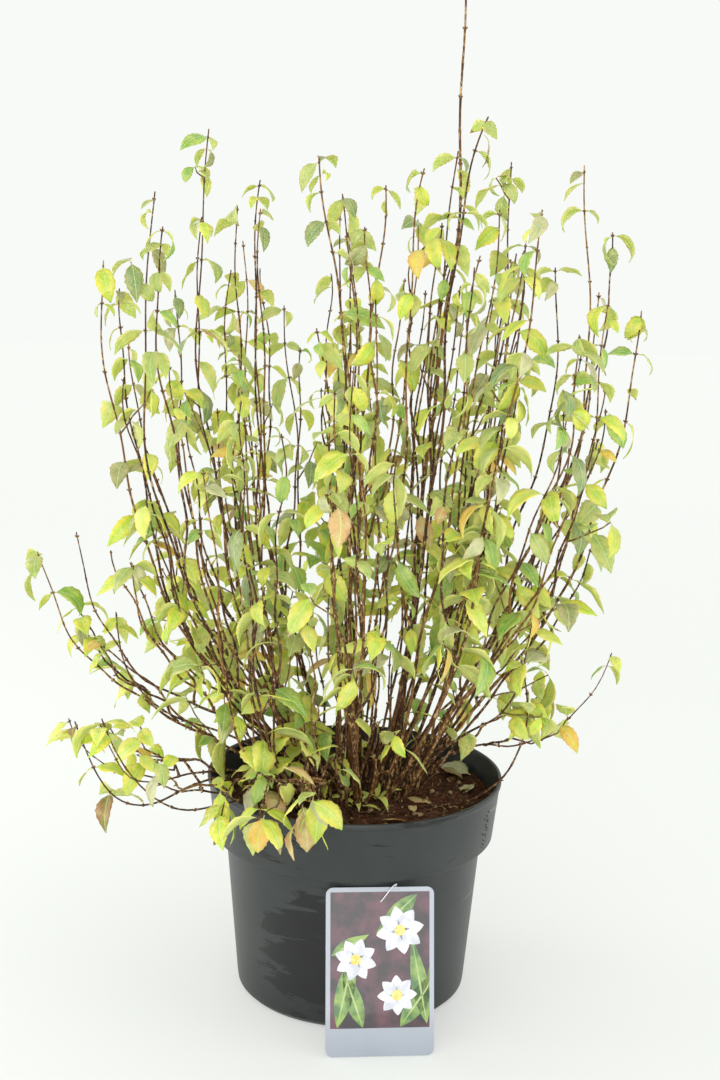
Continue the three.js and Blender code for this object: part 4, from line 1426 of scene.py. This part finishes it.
def budTubes():
    # a pair of pointed buds at every node
    tubes = []
    for shoot in shoots:
        roll = dice(shoot["seed"] + 5)
        for node in shoot["nodes"]:
            radius = girthAt(shoot["limb"], node["share"])
            for way in (-1, 1):
                length = bark["budLength"] * mix(*bark["budSizes"], roll())
                heading = unit(node["outward"] * way + node["along"] * bark["budForward"])
                base = node["point"] + node["outward"] * way * radius * growth["seat"]
                path = [base + heading * length * share for share, _ in bark["budShape"]]
                tubes.append(rings(path, [wide for _, wide in bark["budShape"]], bark["budSides"]))
    return tubes


def addLimbs():
    old, dusky, tan, soft, scales = (barkSkin(name, *tones) for name, tones in barkTones.items())
    tubes = [stemTube(limb, i) for i, limb in enumerate(boughs)]
    stemPiece = newPiece("oldStems", joined("oldStems", tubes), [old])
    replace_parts(stemPiece, *["stem_" + row[0] for row in stems])
    names = ["foliage_" + row[0] for row in stems]
    roll = dice(bark["seed"])
    warm = [roll() < bark["tanShare"] for _ in shoots]
    for name, skin, chosen in (("duskyShoots", dusky, False), ("tanShoots", tan, True)):
        mesh = joined(name, [shootTube(shoot) for shoot, its in zip(shoots, warm) if its == chosen])
        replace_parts(newPiece(name, mesh, [skin]), *names)
    newPiece("twigs", joined("twigs", [twigTube(limb) for limb in twigs]), [soft])
    newPiece("buds", joined("buds", budTubes()), [scales])


addLimbs()
print("limbs made")

# leaves

leafForm = {
    "along": 14,
    "across": 4,
    "petiole": 0.11,  # share of the whole length that is stalk
    "petioleHalfWidth": 0.05,
    "baseCurve": 0.7,
    "tipCurve": 1.15,
    "fullness": 3.35,
    "thickness": 0.32,  # millimetres
    "toothDepth": 0.055,
    "rise": 0.12,  # how far it points up at the stalk before it bends, in radians
    "dish": 0.03,  # how far its rim hangs, against the length
    "waves": 9,
    "mostPerPiece": 380,
}


def halfWidth(share):
    # egg-shaped: broad and round near the stalk, drawn out to a point
    stalk = leafForm["petioleHalfWidth"]
    blade = (share - leafForm["petiole"]) / (1 - leafForm["petiole"])
    if blade <= 0:
        return stalk
    base, tip = blade ** leafForm["baseCurve"], (1 - blade) ** leafForm["tipCurve"]
    return max(stalk, base * tip * leafForm["fullness"])


def leafPattern():
    # a flat leaf of unit length: x across in half widths, y from the stalk to the tip, z the two skins
    bm = bmesh.new()
    bmesh.ops.create_grid(bm, x_segments=leafForm["across"], y_segments=leafForm["along"], size=1)
    for vert in bm.verts:
        share = (vert.co.y + 1) / 2
        row = round(share * leafForm["along"])
        width = halfWidth(share)
        if abs(vert.co.x) > 0.99 and share > leafForm["petiole"] and row < leafForm["along"]:
            width *= 1 + leafForm["toothDepth"] * (1 if row % 2 else -1)
        vert.co.x *= width
        vert.co.y = share
    bmesh.ops.remove_doubles(bm, verts=bm.verts, dist=0.004)
    bmesh.ops.recalc_face_normals(bm, faces=bm.faces)
    if sum(face.normal.z for face in bm.faces) < 0:
        bmesh.ops.reverse_faces(bm, faces=bm.faces)
    bmesh.ops.solidify(bm, geom=bm.faces[:], thickness=0.1)
    bmesh.ops.triangulate(bm, faces=bm.faces[:])
    bmesh.ops.recalc_face_normals(bm, faces=bm.faces)
    bm.verts.ensure_lookup_table()
    middle = sum(vert.co.z for vert in bm.verts) / len(bm.verts)
    verts = np.array([vert.co for vert in bm.verts])
    verts[:, 2] = np.sign(verts[:, 2] - middle) * 0.5
    faces = np.array([[vert.index for vert in face.verts] for face in bm.faces])
    under = np.array([face.normal.z < -0.5 for face in bm.faces])
    centres = np.array([face.calc_center_median() for face in bm.faces])
    bm.free()
    return verts, faces, under, centres


def leafPlaces(batch, verts):
    # bends the flat pattern into every leaf of a batch at once
    heading = np.array([leaf["heading"] for leaf in batch])
    wide = np.cross(heading, up)
    wide /= np.maximum(np.linalg.norm(wide, axis=1), 1e-6)[:, None]
    tilt, length, width, bend, early, fold, wave, twist = (
        np.array([leaf[key] for leaf in batch])[:, None]
        for key in ("tilt", "length", "width", "bend", "early", "fold", "wave", "twist"))
    wide = wide * np.cos(tilt) + np.cross(heading, wide) * np.sin(tilt)
    top = np.cross(wide, heading)
    steps = 4 * leafForm["along"]
    line = np.linspace(0, 1, steps + 1)[None, :]
    angle = bend * line**early - leafForm["rise"]
    forward = np.cumsum(np.cos(angle), axis=1) / steps
    fall = np.cumsum(np.sin(angle), axis=1) / steps
    x, y, z = (column[None, :] for column in verts.T)
    slot = np.clip(np.round(verts[:, 1] * steps).astype(int), 0, steps)
    a = angle[:, slot]
    out = (forward - forward[:, :1])[:, slot] * length
    down = (fall - fall[:, :1])[:, slot] * length
    half = x * width * length / 2
    ripple = wave * length * x**2 * np.sin(leafForm["waves"] * y)
    lift = np.abs(half) * np.sin(fold) - x**2 * length * leafForm["dish"] + ripple
    lift = lift + z * leafForm["thickness"]
    aside = half * np.cos(fold)
    turn = twist * y
    aside, lift = aside * np.cos(turn) - lift * np.sin(turn), aside * np.sin(turn) + lift * np.cos(turn)
    along = out + lift * np.sin(a)
    upward = -down + lift * np.cos(a)
    spots = np.array([leaf["point"] for leaf in batch])
    return (spots[:, None, :] + heading[:, None, :] * along[:, :, None] + top[:, None, :] * upward[:, :, None]
            + wide[:, None, :] * aside[:, :, None])


# Part of the change from low to high is the leaves' own, and part is painted light: the low leaves, in the
# shrub's shade, are dealt brighter colours, and the top ones, which are lit most, duller colours as painted
# shade.
leafColours = {  # blade, rim, and weight among the leaves low down and high up
    "fresh": ("#b3d040", "#dcd654", 0.28, 0.07),
    "spring": ("#c6da62", "#e5dd70", 0.15, 0.06),
    "middle": ("#a8c23c", "#d2cc54", 0.2, 0.1),
    "green": ("#7fac4b", "#adbd5b", 0.15, 0.11),
    "light": ("#98ad5c", "#b7b96c", 0.04, 0.26),
    "dull": ("#858e5a", "#a9a16f", 0.01, 0.1),
    "sage": ("#74925a", "#9a9f69", 0.01, 0.09),
    "pale": ("#a9b086", "#c2bc95", 0.05, 0.12),
    "yellow": ("#d6c04a", "#e0b25c", 0.12, 0.03),
    "straw": ("#c9b880", "#c99f6e", 0.02, 0.01),
    "blush": ("#b2a452", "#ba8a5e", 0.015, 0.012),
    "olive": ("#847e38", "#9a7444", 0.01, 0.01),
}

otherSkins = {  # blade, rim and roughness
    "underside": ("#aec166", "#ccca78", 0.7),
    "scorched": ("#7a4f2c", "#8a6038", 0.8),
    "stalk": ("#b0a65c", "#b0a65c", 0.55),
}

leafTints = {
    "roughness": 0.46,
    # the colour of the painted sheen, and the tint that the painted shade multiplies by
    "paintedSheen": "#d9dea6",
    "paintedShade": "#d6dc9c",
    "vein": "#dfe2a2",
    "dead": "#5b4024",
    # the colours dealt out by height paint light into the low leaves and shade onto the high ones
    "low": 220,  # below this height the colours are dealt out as low down
    "high": 520,  # and above this one as high up
    "sprayMark": 0.6,  # leaves marked above this take their colour partly from their spray
    "sprayPull": 0.45,
    "scorchMark": 0.88,  # leaves marked above this have a scorched tip
    "scorchFrom": (0.86, 0.97),  # share of the length at which it starts
}


def leafSkin(name, base, rim, roughness):
    # A thin soft leaf blade: waxy enough for a broad dull sheen, greenest along the midrib and yellower
    # to the rim, with a pale midrib and fine side veins that sink a little.
    made = newMaterial(name + " leaf blade")
    sheet = addNode(made, "ShaderNodeUVMap", {"uv_map": "blade"}).outputs[0]
    parts = addNode(made, "ShaderNodeSeparateXYZ", links={"Vector": sheet})
    centred = addNode(made, "ShaderNodeMath", {"operation": "SUBTRACT", 1: 0.5}, {0: parts.outputs["X"]})
    apart = addNode(made, "ShaderNodeMath", {"operation": "ABSOLUTE"}, {0: centred.outputs[0]})
    # side veins leave the midrib every eighth of the length and rise towards the tip
    climbed = addNode(made, "ShaderNodeMath", {"operation": "MULTIPLY_ADD", 1: -0.6},
                      {0: apart.outputs[0], 2: parts.outputs["Y"]})
    waves = addNode(made, "ShaderNodeMath", {"operation": "MULTIPLY", 1: 50.0}, {0: climbed.outputs[0]})
    veins = addNode(made, "ShaderNodeMath", {"operation": "SINE"}, {0: waves.outputs[0]})
    thin = addNode(made, "ShaderNodeMapRange", {"From Min": 0.6, "To Max": 0.3}, {"Value": veins.outputs[0]})
    rib = addNode(made, "ShaderNodeMapRange",
                  {"From Min": 0.01, "From Max": 0.045, "To Min": 1.0, "To Max": 0.0},
                  {"Value": apart.outputs[0]})
    net = addNode(made, "ShaderNodeMath", {"operation": "MAXIMUM"}, {0: thin.outputs[0], 1: rib.outputs[0]})
    # the yellowing comes in from the rim in tongues some 8 mm wide
    place = addNode(made, "ShaderNodeTexCoord").outputs["Object"]
    tongues = addNode(made, "ShaderNodeTexNoise", {"Scale": 120, "Detail": 3}, {"Vector": place})
    reach = addNode(made, "ShaderNodeMath", {"operation": "ADD"},
                    {0: apart.outputs[0], 1: tongues.outputs["Fac"]})
    turning = addNode(made, "ShaderNodeMapRange", {"From Min": 0.49, "From Max": 0.88},
                      {"Value": reach.outputs[0]})
    blade = addNode(made, "ShaderNodeMix", {"data_type": "RGBA", 6: colour(base), 7: colour(rim)},
                    {0: turning.outputs[0]})
    # paler patches about 10 mm wide are painted sheen, and deeper ones painted shade
    patches = addNode(made, "ShaderNodeTexNoise", {"Scale": 95, "Detail": 4, "Roughness": 0.6},
                      {"Vector": place})
    paintedSheen = addNode(made, "ShaderNodeMapRange", {"From Min": 0.5, "From Max": 0.72, "To Max": 0.34},
                    {"Value": patches.outputs["Fac"]})
    paintedShade = addNode(made, "ShaderNodeMapRange", {"From Min": 0.5, "From Max": 0.3, "To Max": 0.4},
                   {"Value": patches.outputs["Fac"]})
    pale = addNode(made, "ShaderNodeMix", {"data_type": "RGBA", 7: colour(leafTints["paintedSheen"])},
                   {0: paintedSheen.outputs[0], 6: blade.outputs[2]})
    sheenAndShade = addNode(made, "ShaderNodeMix",
                      {"data_type": "RGBA", "blend_type": "MULTIPLY", 7: colour(leafTints["paintedShade"])},
                      {0: paintedShade.outputs[0], 6: pale.outputs[2]})
    shown = addNode(made, "ShaderNodeMath", {"operation": "MULTIPLY", 1: 0.45}, {0: net.outputs[0]})
    veined = addNode(made, "ShaderNodeMix", {"data_type": "RGBA", 7: colour(leafTints["vein"])},
                     {0: shown.outputs[0], 6: sheenAndShade.outputs[2]})
    # a few pin-head spots of dead tissue
    cells = addNode(made, "ShaderNodeTexVoronoi", {"Scale": 260}, {"Vector": place})
    dead = addNode(made, "ShaderNodeMath", {"operation": "LESS_THAN", 1: 0.11},
                   {0: cells.outputs["Distance"]})
    sick = addNode(made, "ShaderNodeMath", {"operation": "GREATER_THAN", 1: 0.64},
                   {0: tongues.outputs["Fac"]})
    both = addNode(made, "ShaderNodeMath", {"operation": "MULTIPLY"},
                   {0: dead.outputs[0], 1: sick.outputs[0]})
    spotted = addNode(made, "ShaderNodeMix", {"data_type": "RGBA", 7: colour(leafTints["dead"])},
                      {0: both.outputs[0], 6: veined.outputs[2]})
    # the blade puckers between its veins
    pucker = addNode(made, "ShaderNodeTexNoise", {"Scale": 210, "Detail": 2}, {"Vector": place})
    puckered = addNode(made, "ShaderNodeBump", {"Strength": 0.7, "Distance": 0.0022},
                       {"Height": pucker.outputs["Fac"]})
    bump = addNode(made, "ShaderNodeBump", {"Strength": 0.5, "Distance": 0.0006, "invert": True},
                   {"Height": net.outputs[0], "Normal": puckered.outputs[0]})
    shade = addNode(made, "ShaderNodeBsdfPrincipled", {
        "IOR": 1.42, "Roughness": roughness, "Specular IOR Level": 0.8, "Subsurface Weight": 0.85,
        "Subsurface Radius": (1.0, 1.0, 0.5), "Subsurface Scale": 0.001,
    }, {"Base Color": spotted.outputs[2], "Normal": bump.outputs[0]})
    addNode(made, "ShaderNodeOutputMaterial", links={"Surface": shade.outputs[0]})
    return made


def skinsOf(leaf, names, limits, faces, under, centres):
    # the number of the material on each face of one leaf
    lowLimits, highLimits = limits
    # painted light and shade: brighter colours are dealt low down and duller ones high up
    height = (leaf["point"][2] - leafTints["low"]) / (leafTints["high"] - leafTints["low"])
    here = mix(lowLimits, highLimits, clamp(height))
    pull = leafTints["sprayPull"] if leaf["mark"] >= leafTints["sprayMark"] else 0
    share = (1 - pull) * leaf["dice"] + pull * leaf["tint"]
    dealt = np.searchsorted(here, min(share, 0.9999) * here[-1], side="right")
    made = np.full(len(faces), names.index(leaf["kind"]) if "kind" in leaf else dealt)
    made[under] = names.index("underside")
    if leaf["mark"] > leafTints["scorchMark"]:
        made[centres[:, 1] > mix(*leafTints["scorchFrom"], leaf["dice"])] = names.index("scorched")
    made[centres[:, 1] < leafForm["petiole"]] = names.index("stalk")
    return made


def addLeaves():
    names = [*leafColours, *otherSkins]
    skins = [leafSkin(name, *tones[:2], leafTints["roughness"]) for name, tones in leafColours.items()]
    skins += [leafSkin(name, *tones) for name, tones in otherSkins.items()]
    limits = [np.cumsum([tones[k] for tones in leafColours.values()]) for k in (2, 3)]
    verts, faces, under, centres = leafPattern()
    print("one leaf has", len(faces), "triangles")
    order = sorted(leaves, key=lambda leaf: leaf["point"][2])
    batches = math.ceil(len(order) / leafForm["mostPerPiece"])
    size = math.ceil(len(order) / batches)
    blade = np.stack([0.5 + 0.5 * verts[:, 0], verts[:, 1]], -1)[faces.reshape(-1)]
    for part in range(batches):
        batch = order[part * size : (part + 1) * size]
        points = leafPlaces(batch, verts).reshape(-1, 3) * mm
        every = (faces[None] + (np.arange(len(batch)) * len(verts))[:, None, None]).reshape(-1, 3)
        mesh = bpy.data.meshes.new("leaves%d" % (part + 1))
        fillMesh(mesh, points, [every])
        skinOf = np.concatenate([skinsOf(leaf, names, limits, faces, under, centres) for leaf in batch])
        mesh.polygons.foreach_set("material_index", skinOf.astype(np.int32))
        sheet = mesh.uv_layers.new(name="blade")
        sheet.data.foreach_set("uv", np.tile(blade, (len(batch), 1)).astype(np.float32).reshape(-1))
        newPiece(mesh.name, mesh, skins)


addLeaves()
print("leaves made")
